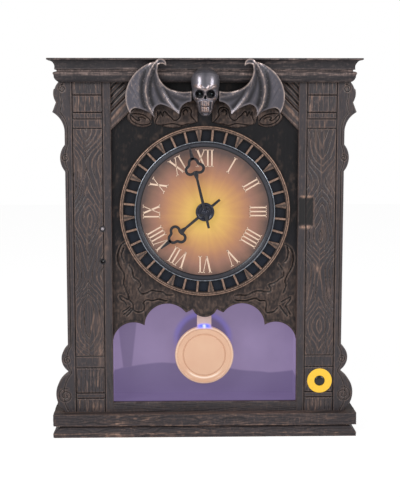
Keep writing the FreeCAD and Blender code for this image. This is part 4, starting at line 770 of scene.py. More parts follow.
slotMaterials = {
    "black_carving": paintedResin("dryBrushedResin"),
    "dark_panel": paintedResin("darkRustedResin", **panelPaint),
    "aged_copper": paintedResin("agedCopperPaint", **rimPaint),
    "gunmetal": paintedResin("gunmetalLacquer", **wingPaint),
    "dial_amber": litDialSheet(),
    "chamber_wall": litChamberWall(),
    "bob_cream": litPendulum(),
    "hand_black": plainMoulding("satinBlackLacquer", "#1c1a20", "#121116", 0.3, 0.6, 0.02),
    "housing_black": plainMoulding("grainedBlackStyrene", "#191919", "#0f0f0f", 0.55, 0.8, 0.12),
    "white_moulding": plainMoulding("whiteReflectorStyrene", "#e3e3df", "#cfcfca", 0.4, 1.0, 0.03),
    "circuit_green": plainMoulding("solderMaskedLaminate", "#1c5a31", "#134425", 0.28, 0.7, 0.03),
    "lens_clear": plainMoulding("clearEpoxyLens", "#8f888c", "#7b7479", 0.14, 0.5, 0.01),
    "lens_violet": plainMoulding("violetEpoxyLens", "#a884ee", "#8c66d8", 0.15, 0.5, 0.01, **violetGlow),
    "lens_blue": plainMoulding("unlitEpoxyLens", "#1f2a30", "#141b20", 0.12, 0.5, 0.01),
    "lens_dark": plainMoulding("filterEpoxyLens", "#0a0910", "#050408", 0.12, 0.5, 0.01),
    "yellow_disc": plainMoulding("printedYellowVinyl", "#e8bd36", "#d9a92a", 0.38, 0.8, 0.01),
    "button_rubber": plainMoulding("blackSiliconeRubber", "#101011", "#080808", 0.22, 0.6, 0.02),
    "speaker_paper": plainMoulding("dopedPaperCone", "#151414", "#0b0b0b", 0.75, 0.9, 0.2),
    "cell_wrap": plainMoulding("shrinkSleeveVinyl", "#4a4d52", "#34373b", 0.25, 0.8, 0.02),
    "steel": wornMetal("zincPlatedSteel", "#b9babc", "#8d8e91", 0.32, 0.9),
    "brass_gear": wornMetal("stampedBrass", "#c8a65e", "#9c7d3f", 0.34, 0.7),
    "copper_coil": windingWire("enamelledCopperWire", "#b8693a", "#6e3a1e", 0.6),
}
for part in frame["record"]["subparts"]:
    mesh = nodes[part["node"]].data
    mesh.materials.clear()
    mesh.materials.append(slotMaterials[part["material_slot"]])

print("stage: camera and studio")

studio = {
    "distance": 1250.0,
    "pitch": 7.3,
    "yaw": 1.48,
    "aim": (-5.6, -20.0, 216.0),
    "lens": 100.35,
    "worldStrength": 0.42,
    "floorSize": 6.0,
    "lampAim": (0, 0, 0.25),
    "lamps": [("keyLight", (-1.1, -1.3, 1.1), 0.9, 26.0), ("fillLight", (1.2, -1.2, 0.9), 0.8, 18.0)],
}


def setCamera():
    pitch, yaw = math.radians(studio["pitch"]), math.radians(studio["yaw"])
    look = Vector((math.sin(yaw) * math.cos(pitch), math.cos(yaw) * math.cos(pitch), -math.sin(pitch)))
    data = bpy.data.cameras.new("photoCamera")
    data.sensor_fit = "HORIZONTAL"
    data.sensor_width = 36.0
    data.lens = studio["lens"]
    data.clip_end = 20.0
    camera = newObject("photoCamera", data)
    camera.location = (Vector(studio["aim"]) - look * (studio["distance"] / look.y)) * mm
    camera.rotation_euler = look.to_track_quat("-Z", "Y").to_euler()
    bpy.context.scene.camera = camera


def addLamp(name, place, size, power):
    data = bpy.data.lights.new(name, "AREA")
    data.size = size
    data.energy = power
    lamp = newObject(name, data)
    lamp.location = place
    lamp.rotation_euler = (Vector(studio["lampAim"]) - Vector(place)).to_track_quat("-Z", "Y").to_euler()


def setWorld():
    world = bpy.data.worlds.new("studioWorld")
    bpy.context.scene.world = world
    world.use_nodes = True
    tree = world.node_tree
    tree.nodes.clear()
    path = addNode(tree, "ShaderNodeLightPath").outputs
    rays = {0: path["Is Camera Ray"], 1: path["Is Transmission Ray"]}
    seen = addNode(tree, "ShaderNodeMath", rays, operation="MAXIMUM")
    soft, white = [
        addNode(tree, "ShaderNodeBackground", {"Color": "#ffffff", "Strength": strength})
        for strength in (studio["worldStrength"], 1.0)
    ]
    mixed = addNode(tree, "ShaderNodeMixShader", {0: seen, 1: soft, 2: white})
    addNode(tree, "ShaderNodeOutputWorld", {"Surface": mixed})


def setFloor():
    material, tree, _ = newMaterial("paleStudioFloor")
    path = addNode(tree, "ShaderNodeLightPath").outputs
    rays = {0: path["Is Camera Ray"], 1: path["Is Glossy Ray"]}
    seen = addNode(tree, "ShaderNodeMath", rays, operation="MAXIMUM")
    through = addNode(tree, "ShaderNodeMath", {0: seen, 1: path["Is Transmission Ray"]}, operation="MAXIMUM")
    share = addNode(tree, "ShaderNodeMath", {0: through, 1: 0.8}, operation="MULTIPLY")
    matt = addNode(tree, "ShaderNodeBsdfDiffuse", {"Color": "#f4f4f4"})
    glow = addNode(tree, "ShaderNodeEmission", {"Color": "#ffffff", "Strength": 1.12})
    mixed = addNode(tree, "ShaderNodeMixShader", {0: share, 1: matt, 2: glow})
    addNode(tree, "ShaderNodeOutputMaterial", {"Surface": mixed})
    half = studio["floorSize"] / 2
    mesh = bpy.data.meshes.new("studioFloor")
    corners = [(-half, -half, 0), (half, -half, 0), (half, half, 0), (-half, half, 0)]
    mesh.from_pydata(corners, [], [(0, 1, 2, 3)])
    mesh.materials.append(material)
    newObject("studioFloor", mesh)


setCamera()
setWorld()
setFloor()
for lamp in studio["lamps"]:
    addLamp(*lamp)
bpy.context.scene.view_settings.view_transform = "Standard"

print("stage: stiles, rail and braces")

case = {
    "fasciaY": -20.0,
    "panelY": -14.0,
    "plateBackY": -17.5,
    "skirtBackY": -6.0,
    "halfWidth": 155.5,
    "openingHalf": 105.0,
    "low": 27.0,
    "high": 402.6,
    "dialZ": 257.5,
    "wall": 2.2,
}
stile = {
    "columnStep": 0.55,
    "rowStep": 0.85,
    "earColumns": 22,
    "trim": 1.0,
    "trimTop": 395.0,
    "earStart": 152.5,
    "scallopReach": 14.0,
    "rise": 375.0,
    "edgeShares": [
        (0.32, 0.0),
        (1.0, 0.060, 0.0, 0.120),
        (0.0, 0.128),
        (0.53, 0.168, 0.0, 0.205),
        (0.0, 0.736),
        (0.386, 0.777, 0.0, 0.816),
        (0.0, 0.855),
        (0.27, 0.888, 0.95, 0.912),
        (0.65, 0.941),
        (0.843, 0.975, 0.52, 1.0),
    ],
    "grooves": (114.3, 147.5),
    "crossGrooves": (42.9, 49.1, 78.7, 92.1, 351.0, 361.5, 368.7, 387.9),
    "grooveHalfWidth": 0.75,
    "grooveDepth": 1.1,
    "grainDepth": 0.42,
    "spirals": (  # centre, outer radius, turns
        ((159.5, 46.0), 9.0, 2.0),
        ((157.0, 87.5), 4.4, 1.4),
        ((156.0, 318.0), 4.0, 1.3),
        ((158.3, 395.0), 4.6, 1.5),
    ),
    "notch": (106.3, 122.3, 241.0, 273.6),
    "notchDepth": 1.4,
    "slitHigh": (225.0, 285.0),
    "brushed": {  # dry-brush hits on each side: place, half sizes, amount
        -1: [
            (118, 95, 4, 16, 0.8),
            (124, 33, 6, 5, 0.9),
            (112, 215, 3, 20, 0.5),
            (121, 130, 4, 10, 0.4),
            (140, 300, 4, 12, 0.3),
        ],
        1: [
            (127, 193, 4, 4, 0.9),
            (116, 160, 3, 20, 0.35),
            (141, 165, 4, 10, 0.3),
            (128, 36, 8, 5, 0.4),
            (143, 290, 5, 14, 0.4),
        ],
    },
    "sensors": ((-115.3, 238.5), (-115.3, 201.6)),
    "sensorHole": 2.9,
    "lipX": (107.2, 105.0),
}


def cathedral(x, z, middle, half, lines, seed):
    # Nested pointed arches and knots: level lines of a wavy surface, cut as thin black lines.
    warp = (noise(x, z, 12.0, 40.0, seed) - 0.5) * 5.0 + (noise(x, z, 2.5, 14.0, seed + 1) - 0.5) * 0.9
    away = np.abs(x - middle + warp) / half
    knots = 2.1 * np.cos(2 * math.pi * (z - 186.0) / 112.0) + 0.4 * np.cos(2 * math.pi * z / 47.0 + seed)
    near = np.abs((lines * away**1.15 + knots + 0.5) % 1 - 0.5)
    return peak(near, 0.12) * (0.45 + 0.55 * softStep(noise(x, z, 6.0, 24.0, seed + 2), 0.3, 0.6))


def grain(x, z, middle, pitch, seed, lean):
    # Flat-sawn grain: lines beside a middle line, with long fibres through them.
    warp = (noise(x, z, 9.0, 46.0, seed) - 0.5) * 5.0 + (noise(x, z, 3.0, 20.0, seed + 1) - 0.5) * 1.6
    lines = bands(np.abs(x - middle + warp) + z * lean * 3.4, pitch)
    fibres = noise(x, z, 0.9, 16.0, seed + 2)
    cut = softStep(lines, 0.62, 0.95) * (0.35 + 0.65 * noise(x, z, 5.0, 30.0, seed + 3))
    return np.clip(cut + 0.45 * softStep(fibres, 0.62, 0.9), 0, 1)


def addGrain(relief, cut, depth, where=1.0, rim=0.22):
    worn = rim * softStep(cut, 0.12, 0.45) * (1 - softStep(cut, 0.5, 0.8)) * where
    carve(relief, -depth * cut * where, worn, 0.62 * cut * where)


def cutNotch(relief, x, z):
    # The dark notch in the right-hand moulding: a slit down its groove, and copper on its rims.
    left, right, low, high = stile["notch"]
    groove = stile["grooves"][0]
    gap = np.minimum(np.minimum(x - left, right - x), np.minimum(z - low, high - z))
    sunken = softStep(gap, -0.3, 0.5)
    slit = peak(x - groove, 0.9)
    edges = peak(z - high - 0.6, 1.5) + peak(z - low + 0.8, 1.9)
    beside = peak(np.abs(x - groove) - 2.4, 2.6) + 0.25 * (x > left) * (x < right)
    bright = np.clip(edges * beside * (1 - slit), 0, 1)
    relief["lift"] *= 1 - sunken
    relief["darkAndShade"] *= 1 - 0.5 * sunken
    slitLow, slitTop = stile["slitHigh"]
    dark = np.maximum(0.9 * sunken, slit * (z > slitLow) * (z < slitTop))
    side = 0.5 * peak(x - right - 0.6, 0.6) * (z > low) * (z < high)
    carve(relief, -sunken * (stile["notchDepth"] + 1.2 * slit), np.maximum(1.4 * bright, side), dark)
    relief["darkAndShade"] *= 1 - 0.95 * bright


def earEdge(reach, chord):
    return tracePath(stile["edgeShares"], case["halfWidth"], reach, case["low"], stile["rise"], chord)


def stileRelief(x, z, outer, side):
    relief = newRelief(x, z)
    inner, far = stile["grooves"]
    foot, band, block, low, high, capital = stile["crossGrooves"][:6]
    field = (x > inner) & (x < far)

    def between(start, end):
        return field & (z > start) & (z < end)

    main = between(low, high)
    blocks = between(case["low"], foot) | between(band, block) | between(capital, case["high"] - 0.6)
    fibres = softStep(noise(x, z, 0.8, 26.0, 5 + side), 0.62, 0.85)
    addGrain(relief, cathedral(x, side * 6 + z, 131.0, 16.6, 3.2, 3 + side), 0.6, main * 1.3, 0.55)
    addGrain(relief, 0.5 * fibres, stile["grainDepth"], main * 1.0, 0.3)
    flutes = bands(x + 5.0 * (noise(x, z, 7, 30, 9) - 0.5), 4.6)
    addGrain(relief, softStep(flutes, 0.84, 0.99), 0.5, blocks * 1.0, 0.5)
    hairs = softStep(noise(x, z, 1.1, 12.0, 11 + side), 0.66, 0.9)
    carve(relief, wear=0.5 * hairs * (blocks | (field & (z > high))))
    swirl = grain(x, z, 150.0, 4.4, 21 + side, 0.02)
    addGrain(relief, softStep(swirl, 0.4, 1.0), 0.22, ~(main | blocks) * 0.7)
    streaks = 0.35 + 0.65 * softStep(noise(x, z, 1.3, 7.0, 140), 0.35, 0.75)
    for atX, atZ, wide, tall, amount in stile["brushed"][side]:
        carve(relief, wear=amount * peak(x - atX, wide) * peak(z - atZ, tall) * streaks)
    relief["lift"] -= 0.5 * (between(block, low) | between(high, capital))
    uprights = [[(value, case["low"]), (value, case["high"])] for value in stile["grooves"]]
    across = [[(inner, value), (far, value)] for value in stile["crossGrooves"]]
    cutLines(relief, uprights + across, stile["grooveHalfWidth"], stile["grooveDepth"], 0.35)
    for centre, radius, turns in stile["spirals"]:
        cutLines(relief, [spiral(centre, radius, 1.2, turns, math.pi * 0.6)], 0.65, 0.8, 0.45)
    edge = earEdge(stile["scallopReach"] * 0.62, 3.0)
    cutLines(relief, [[(value - 2.6, height) for value, height in edge]], 0.6, 0.6, 0.3)
    roundEdge(relief, outer - x, 1.6, 0.3)
    roundEdge(relief, x - case["openingHalf"], 0.9, 0.35)
    if side > 0:
        cutNotch(relief, x, z)
    else:
        for place, height in stile["sensors"]:
            away = np.hypot(x + place, z - height) - stile["sensorHole"]
            hole = 1 - softStep(away, -0.5, 0.3)
            carve(relief, -2.6 * hole, darkAndShade=hole)
    return relief


def ribbon(name, x, z, faceY, edges, relief, tail):
    # A long moulding: rows of carved face points, closed behind by plain edges, with their marks.
    count = len(x)
    face = np.stack([x, faceY - relief["lift"].reshape(x.shape), z], 2)
    plain = [np.stack(np.broadcast_arrays(*edge), 1)[:, None, :] for edge in edges]
    points = np.concatenate([face] + plain, 1)
    tails = np.tile(tail, (count, 1))
    marks = {mark: np.hstack([relief[mark].reshape(x.shape), tails]).ravel() for mark in ("wear", "darkAndShade")}
    faces = tubeFaces(count, points.shape[1])
    return makePiece(name, points.reshape(-1, 3), faces, marks, slot="black_carving", sharp=50)


def withExtras(low, high, step, centres, last=()):
    # Even steps, with finer ones over each groove.
    steps = [*np.arange(low, high, step), *last]
    extras = [centre + offset for centre in centres for offset in (-1.35, -0.9, -0.45, 0, 0.45, 0.9, 1.35)]
    steps = [value for value in steps if min(abs(value - centre) for centre in centres) > 1.6]
    return np.array(sorted(steps + extras))


def makeStile(side):
    edge = np.array(earEdge(stile["scallopReach"], 1.0))
    rows = withExtras(case["low"], case["high"], stile["rowStep"], stile["crossGrooves"], [case["high"]])
    columns = withExtras(case["openingHalf"], stile["earStart"], stile["columnStep"], stile["grooves"])
    outer = np.interp(rows, edge[:, 1], edge[:, 0]) + stile["trim"] * (rows < stile["trimTop"])
    shares = np.linspace(0, 1, stile["earColumns"] + 1)[1:]
    ears = columns[-1] + (outer[:, None] - columns[-1]) * shares
    x = np.hstack([np.tile(columns, (len(rows), 1)), ears])
    z = np.tile(rows[:, None], (1, x.shape[1]))
    relief = stileRelief(x.ravel(), z.ravel(), np.repeat(outer, x.shape[1]), side)
    lip, opening = stile["lipX"]
    edges = [
        (outer, case["skirtBackY"]),
        (outer - case["wall"], case["skirtBackY"]),
        (outer - case["wall"], case["plateBackY"]),
        (lip, case["plateBackY"]),
        (lip, case["panelY"]),
        (opening, case["panelY"]),
    ]
    edges = [(side * value, depth, rows) for value, depth in edges]
    ribbon(sideName("stile", side), side * x, z, case["fasciaY"], edges, relief, [0.5, 0, 0, 0, 0, 0.2])


rail = {
    "low": 27.0,
    "high": 38.0,
    "lip": 2.2,
    "columnStep": 0.8,
    "rowStep": 0.62,
    "grainPitch": 2.4,
    "grainDepth": 0.3,
}


def makeRail():
    half = case["openingHalf"] + 0.6
    low, high = rail["low"], rail["high"]
    columns = np.arange(-half, half + 0.4, rail["columnStep"])
    rows = np.arange(low, high + 0.01, rail["rowStep"])
    rows[-1] = high
    x, z = np.meshgrid(columns, rows, indexing="ij")
    relief = newRelief(x, z)
    addGrain(relief, grain(z.ravel(), x.ravel(), 31.0, rail["grainPitch"], 40, 0.012), rail["grainDepth"])
    roundEdge(relief, high - z.ravel(), 0.9, 0.25)
    back, lip = case["plateBackY"], high - rail["lip"]
    corners = (case["panelY"], high), (case["panelY"], lip), (back, lip), (back, low)
    edges = [(columns, *corner) for corner in corners]
    return ribbon("bottomRail", x, z, case["fasciaY"] + 0.3, edges, relief, [0, 0, 0, 0])


corner = {
    "footZ": 347.7,
    "width": 14.0,
    "braceSetback": 1.5,
    "plankSetback": 4.0,
    "plankPitch": 6.4,
    "step": 0.7,
    "topZ": 405.0,
}


def makeCorner(side):
    # A slanted brace, and the planks that fill the corner above it.
    low = corner["footZ"]
    high = low + corner["width"] * math.sqrt(2)
    edge, top = case["openingHalf"] + 1.1, corner["topZ"]
    outline = [(edge, low), (edge, high), (edge - (top - high), top), (edge - (top - low), top)]
    x, z, mask = fillOutline(outline, corner["step"])
    relief = newRelief(x, z)
    flatX, flatZ = relief["points"].T
    along, across = (flatX - flatZ) / math.sqrt(2), (flatX + flatZ) / math.sqrt(2)
    addGrain(relief, grain(across, along, across.mean(), 2.6, 55 + side, 0.01), 0.3)
    sides = [[outline[0], outline[3]], [outline[1], outline[2]]]
    roundEdge(relief, lineDistance(relief["points"], sides, 4), 1.2, 0.6)
    streaks = noise(across, along, 1.6, 14.0, 58) * noise(across, along, 8.0, 30.0, 59)
    carve(relief, wear=0.8 * softStep(streaks, 0.28, 0.6))
    faceY, dressing = case["fasciaY"] + corner["braceSetback"], {"slot": "black_carving", "sharp": 50}
    slab(sideName("brace", side), side * x, z, faceY, case["panelY"], mask, relief, **dressing)

    outline = [(edge, high - 1), (edge, top), (edge - (top - high) - 1, top)]
    x, z, mask = fillOutline(outline, corner["step"])
    relief = newRelief(x, z)
    offset = (relief["points"].sum(1) - edge - high) / math.sqrt(2) / corner["plankPitch"]
    wave = np.abs((offset + 0.5) % 1 - 0.5) * corner["plankPitch"]
    joint = peak(wave, 1.1)
    carve(relief, -1.6 * joint, 0.75 * peak(wave - 1.7, 0.4), np.maximum(0.3, joint))
    faceY = case["fasciaY"] + corner["plankSetback"]
    slab(sideName("planks", side), side * x, z, faceY, case["panelY"], mask, relief, **dressing)


for side in (-1, 1):
    makeCorner(side)
    makeStile(side)
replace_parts(makeRail(), "front_frame")

print("stage: dial panel and scroll board")

panel = {
    "half": 112.0,
    "top": 410.5,
    "backY": -11.5,
    "columnStep": 1.0,
    "rowStep": 1.1,
    "apronSideZ": 109.0,
    "apronRise": 42.6,
    "apronShares": [
        (1.0, 0.0), (0.80, 0.49, 0.657, 0.41), (0.398, 1.0, 0.205, 0.75), (0.132, 0.84), (0.108, 0.74),
    ],
    "apronCusp": 69.0,
    "apronDropShare": 0.63,
    "joint": 158.0,
    "lowRows": 44,
    "footZ": 31.0,
    "holeRadius": 74.0,
    "windowRadii": (78.5, 93.0),
    "strokes": [  # engraved outlines of the creepers, in mm
        [
            (-88, 224), (-95, 219), (-99, 208), (-98, 197), (-91.6, 186), (-92.5, 176), (-90, 168),
            (-87, 160), (-88, 156.6), (-93.4, 160), (-97, 161), (-96, 157), (-92, 154.6),
            (-89.5, 150.5),
        ],
        [(-92, 216), (-94.5, 208), (-92, 200)],
        [
            (-86, 196), (-82.6, 190.8), (-81, 182.6), (-75.4, 178.5), (-73, 172.7), (-75.5, 168.6),
            (-72.3, 163.6), (-65.7, 164.4), (-60.8, 167), (-54.3, 166), (-47.8, 165.2), (-43.8, 162),
            (-36.4, 161.8),
        ],
        [
            (-43, 155.2), (-46, 155.3), (-52.8, 157), (-59.3, 155.3), (-65.8, 156.2), (-70, 153),
            (-69, 148.7), (-70, 143.8), (-75.7, 142), (-81.4, 144.7), (-82, 151.3), (-87, 157),
        ],
        [(-82.2, 145.5), (-85.5, 141.4), (-89, 137.7)],
        [(-83.8, 146.7), (-88, 142.7), (-92.3, 139.4)],
        [(-85.7, 148.3), (-89, 145.5), (-93.3, 143)],
        [
            (92, 219.7), (98, 214.8), (101, 206.6), (100.5, 196.7), (98, 190), (94, 183.6),
            (91.7, 177), (93, 172), (90, 164),
        ],
        [(93.8, 216.5), (95, 210), (93.7, 203.3), (91.8, 200)],
        [
            (84, 197), (89, 190.2), (90, 183.6), (86, 180.3), (79.5, 175.4), (73, 173), (75.4, 169.6),
            (74.6, 165.5), (68, 165.5), (61.5, 166.4), (55, 164.7), (48.5, 161.4), (38.7, 161.5),
            (34.6, 160.7),
        ],
        [
            (34.6, 155.7), (38.7, 155), (47, 154.8), (53.4, 156.5), (58.3, 157.3), (63.2, 154.8),
            (69, 154.7), (70.7, 150.6), (70, 144), (71.5, 140.6), (79.7, 142.2), (83.3, 146),
        ],
        [(87.8, 153), (94.4, 157), (98.4, 158.7), (97, 153.8), (92.8, 148.8), (95.3, 143.8), (98.2, 138.5)],
        [(86, 148.8), (90.4, 142.2), (94.6, 136.8)],
    ],
    "limbs": [  # the raised bodies between them: centre line and half widths
        ([(-93, 220), (-96, 208), (-92, 196), (-87, 184), (-83, 172), (-79, 160)], (1.0, 5.0, 7.0)),
        ([(-79, 168), (-72, 159), (-60, 161), (-50, 160), (-38, 158)], (5.0, 4.0, 2.0)),
        ([(94, 220), (97, 208), (93, 194), (89, 184), (83, 172), (79, 160)], (1.0, 5.0, 7.0)),
        ([(79, 168), (72, 159), (60, 161), (50, 160), (38, 158)], (5.0, 4.0, 2.0)),
    ],
}


def addLimb(relief, centre, widths, height):
    # A raised limb of a creeper, which tapers along its centre line.
    line = smoothLine(centre, 5)
    halves = np.interp(np.linspace(0, 1, len(line)), (0, 0.5, 1), widths)
    some = relief["points"]
    best = np.full(len(some), 99.0)
    for start, end, first, last in zip(line[:-1], line[1:], halves[:-1], halves[1:]):
        share, nearest = nearestOn(some, start, end)
        best = np.minimum(best, np.hypot(*(some - nearest).T) - (first + (last - first) * share))
    inside = softStep(-best, -1.0, 3.0)
    fibres = softStep(noise(*some.T, 1.5, 9.0, 72), 0.5, 0.85)
    relief["lift"] = np.maximum(relief["lift"], height * inside)
    carve(relief, wear=inside * (0.26 + 0.36 * fibres))


def panelGrid():
    # Columns over the opening and a border of rows that follows the apron's cloud edge.
    opening = case["openingHalf"]
    edge = tracePath(panel["apronShares"], 0, opening, panel["apronSideZ"], panel["apronRise"])
    drop = panel["apronSideZ"] + panel["apronDropShare"] * panel["apronRise"]
    last = edge[-1]
    pendant = arcThrough(last, (0, drop), (-last[0], last[1]), 1.0)
    border = np.array(mirrored(edge) + pendant[::-1][1:-1] + edge[::-1])
    border = border[np.argsort(border[:, 0], kind="stable")]
    cusp = min((point[0] for point in edge), key=lambda value: abs(value - panel["apronCusp"]))
    even = np.arange(-panel["half"], panel["half"] + 0.5, panel["columnStep"])
    columns = np.unique(np.round([*even, -cusp, -last[0], cusp, last[0]], 3))
    low = np.interp(columns, *border.T)
    low[np.abs(columns) > opening] = panel["footZ"]
    joint = panel["joint"]
    upper = np.arange(joint, panel["top"], panel["rowStep"])[1:]
    rows = [low + (joint - low) * share for share in np.linspace(0, 1, panel["lowRows"])]
    z = np.vstack(rows + [np.full(len(columns), height) for height in upper])
    return np.tile(columns, (len(z), 1)), z, border


def makePanel():
    x, z, border = panelGrid()
    relief = newRelief(x, z)
    flatX, flatZ = relief["points"].T
    for centre, widths in panel["limbs"]:
        addLimb(relief, centre, widths, 1.2)
    cutLines(relief, [smoothLine(stroke, 4) for stroke in panel["strokes"]], 1.0, 1.2, 0.78)
    dust = 1 - softStep(flatZ, 150.0, 235.0)
    grit = softStep(noise(flatX, flatZ, 2.4, 3.2, 73), 0.3, 0.8)
    corroded = softStep(noise(flatX, flatZ, 7.0, 11.0, 74), 0.62, 0.85)
    carve(relief, wear=np.maximum(dust * (0.14 + 0.24 * grit), 0.35 * corroded * grit))
    away = np.hypot(flatX, flatZ - case["dialZ"])
    inner, outer = panel["windowRadii"]
    relief["wear"] *= 1 - softStep(away, inner - 6, inner) * (1 - softStep(away, outer, outer + 3))
    # Painted shade: beside the dial on the right, and over the upper panel, darker towards the top.
    shade = 0.6 * softStep(flatX, 60.0, 100.0) * peak(flatZ - 257.0, 20.0)
    carve(relief, -0.18 * noise(flatX, flatZ, 2.0, 26.0, 71), darkAndShade=shade)
    carve(relief, darkAndShade=0.55 * softStep(flatZ, 225.0, 300.0))
    gap = lineDistance(relief["points"], [border], 6)
    roundEdge(relief, gap, 1.1, 0.6)
    carve(relief, darkAndShade=0.6 * peak(gap - 2.9, 0.8))
    away = away.reshape(x.shape)
    corners = np.stack([away[:-1, :-1], away[1:, :-1], away[:-1, 1:], away[1:, 1:]])
    mask = corners.max(0) > panel["holeRadius"]
    dressing = {"slot": "dark_panel", "node": "dial_panel", "sharp": 50}
    slab("dialPanel", x, z, case["panelY"], panel["backY"], mask, relief, **dressing)


scroll = {
    "half": 87.0,
    "low": 351.6,
    "height": 30.4,
    "frontY": -16.0,
    "step": 0.6,
    "shares": [
        (0.092, 0.72),
        (0.092, 0.21),
        (0.22, 0.10, 0.345, 0.0),
        (0.50, 0.03, 0.644, 0.14),
        (0.667, 0.34),
        (0.674, 0.50),
        (0.683, 0.34),
        (0.692, 0.12),
        (0.865, 0.045, 0.972, 0.24),
        (1.0, 0.43, 0.95, 0.60),
        (0.80, 1.0),
    ],
    "curls": [
        [
            (60.5, 358.5), (62, 356.3), (66, 355), (72, 355), (78, 357), (82.3, 360.5), (83.6, 364),
            (82, 366.8), (76.8, 367.6), (69, 366.2), (63.3, 362.6), (60.5, 358.5),
        ],
        [(66, 361.5), (70, 363.6), (74.5, 362.8), (72.6, 360.2), (76, 360), (79.5, 363), (82.5, 366.3)],
        [
            (10.5, 354.3), (19, 355.8), (26, 354), (35.3, 356.3), (45, 355), (53, 354.5), (55.5, 358),
            (53.2, 363.4), (52.8, 369.5),
        ],
        [
            (52.8, 369.5), (51, 366), (49.8, 370), (47.2, 364.4), (46.6, 368.2), (44.5, 370),
            (40.8, 365.8), (37.7, 363.5), (35, 360.4), (31.3, 360.3), (28, 363.5), (27, 368.2),
            (25.6, 372.2), (21.6, 374.5), (17.3, 373.8), (14.8, 369.8), (15.7, 365.8), (13.2, 362),
            (9.8, 357.9), (10.5, 354.3),
        ],
        [(18.9, 369.5), (20.5, 372), (23, 371.5), (24.4, 368.8), (23.4, 366.3)],
    ],
}


def makeScroll():
    right = tracePath(scroll["shares"], 0, scroll["half"], scroll["low"], scroll["height"])
    outline = right + mirrored(right)
    x, z, mask = fillOutline(outline, scroll["step"])
    relief = newRelief(x, z)
    gap = lineDistance(relief["points"], [outline + outline[:1]], 8)
    relief["lift"] += 0.9 * softStep(gap, 0, 5)
    curls = [smoothLine(curl, 5) for curl in scroll["curls"]]
    cutLines(relief, curls + [curl * (-1, 1) for curl in curls], 0.8, 1.3, 0.6)
    carve(relief, wear=0.25 + 0.3 * softStep(noise(*relief["points"].T, 3.4, 3.4, 80), 0.45, 0.85))
    roundEdge(relief, gap, 1.2, 0.5)
    dressing = {"slot": "dark_panel", "node": "scroll_board", "sharp": 50}
    slab("scrollBoard", x, z, scroll["frontY"], case["panelY"] - 0.02, mask, relief, **dressing)


makePanel()
makeScroll()

print("stage: cornice, ledge and plinth")

mould = {"backY": 52.0, "alongStep": 1.5, "sideLength": 72.0, "noiseLift": 0.25, "cornerTurn": 32.0}


def sweepMoulding(name, profile, frontShare, node, paint, fields=None):
    # The profile (reach beyond the case, height) runs round the front and both sides, mitred, and a
    # board closes it behind.
    profile = np.array(profile)
    reach, height = profile.T
    outward = normalsOf(profile)
    length = case["halfWidth"] + reach.max()
    side = np.arange(0, 1.0001, mould["alongStep"] / 70)
    front = np.linspace(-1, 1, int(2 * length / mould["alongStep"]))[1:-1]
    edgeGap = np.minimum.reduce([np.hypot(reach - r, height - h) for r, h in cornersOf(profile)])
    rings, marks = [], {"wear": [], "darkAndShade": []}
    runs = [(-1, 1 - share) for share in side] + [(0, share) for share in front]
    runs += [(1, share) for share in side]
    for sign, share in runs:
        place = sign * (length + share * mould["sideLength"]) if sign else share * length
        spot = np.full(len(reach), place)
        rough = noise(spot, height * 2.2 + reach, 6.0, 2.5, 90)
        fine = noise(spot, height * 3 + reach, 1.8, 1.2, 91)
        lift = mould["noiseLift"] * (rough + 0.6 * fine - 0.8)
        patchy = softStep(rough, 0.3, 0.7)
        wear = np.clip(1 - edgeGap / 1.2, 0, 1) * (0.15 + 0.45 * patchy)
        wear = wear + 0.32 * softStep(noise(spot, height, 46.0, 3.0, 92), 0.55, 0.85) * patchy
        wear = np.minimum(wear + 0.2 * softStep(fine, 0.7, 0.95), 1)
        darkAndShade = np.zeros(len(reach))
        if fields:
            more, worn, darkAndShade = fields(spot, height, reach)
            lift, wear = lift + more, np.maximum(wear * (1 - darkAndShade), worn)
        out = outward[:, 0] * lift
        y = case["fasciaY"] - reach * frontShare
        if sign:
            x = sign * (case["halfWidth"] + reach + out)
            y = y + (mould["backY"] - y) * share
        else:
            x = share * (case["halfWidth"] + reach)
            y = y - out
        z = height + outward[:, 1] * lift * (outward[:, 0] > 0.05)
        rings.append(np.stack([x, y, z], 1))
        marks["wear"].append(wear)
        marks["darkAndShade"].append(darkAndShade)
    total, count = len(reach), len(rings)
    faces = [
        [ring * total + n, ring * total + n + 1, (ring + 1) * total + n + 1, (ring + 1) * total + n]
        for ring in range(count - 1)
        for n in range(total - 1)
    ]
    faces.append([ring * total + total - 1 for ring in range(count)])
    faces.append([ring * total for ring in reversed(range(count))])
    faces.append(list(range(total)) + [(count - 1) * total + n for n in reversed(range(total))])
    marks = {mark: np.concatenate(rows) for mark, rows in marks.items()}
    dressing = {"slot": "black_carving", "material": paint, "sharp": 48, "node": node}
    makePiece(name, np.vstack(rings), faces, marks, **dressing)


def cornersOf(profile):
    found = [tuple(profile[0]), tuple(profile[-1])]
    for before, here, after in zip(profile[:-2], profile[1:-1], profile[2:]):
        a, b = here - before, after - here
        turn = math.degrees(math.atan2(a[0] * b[1] - a[1] * b[0], a @ b))
        if abs(turn) > mould["cornerTurn"]:
            found.append(tuple(here))
    return found


def normalsOf(profile):
    along = np.gradient(profile, axis=0)
    outward = np.stack([along[:, 1], -along[:, 0]], 1)
    return outward / np.maximum(np.linalg.norm(outward, axis=1), 1e-6)[:, None]


def densify(path, step):
    made = [path[0]]
    for (x, z), (endX, endZ) in zip(path[:-1], path[1:]):
        count = max(1, int(math.hypot(endX - x, endZ - z) / step))
        made += [(x + (endX - x) * n / count, z + (endZ - z) * n / count) for n in range(1, count + 1)]
    return made


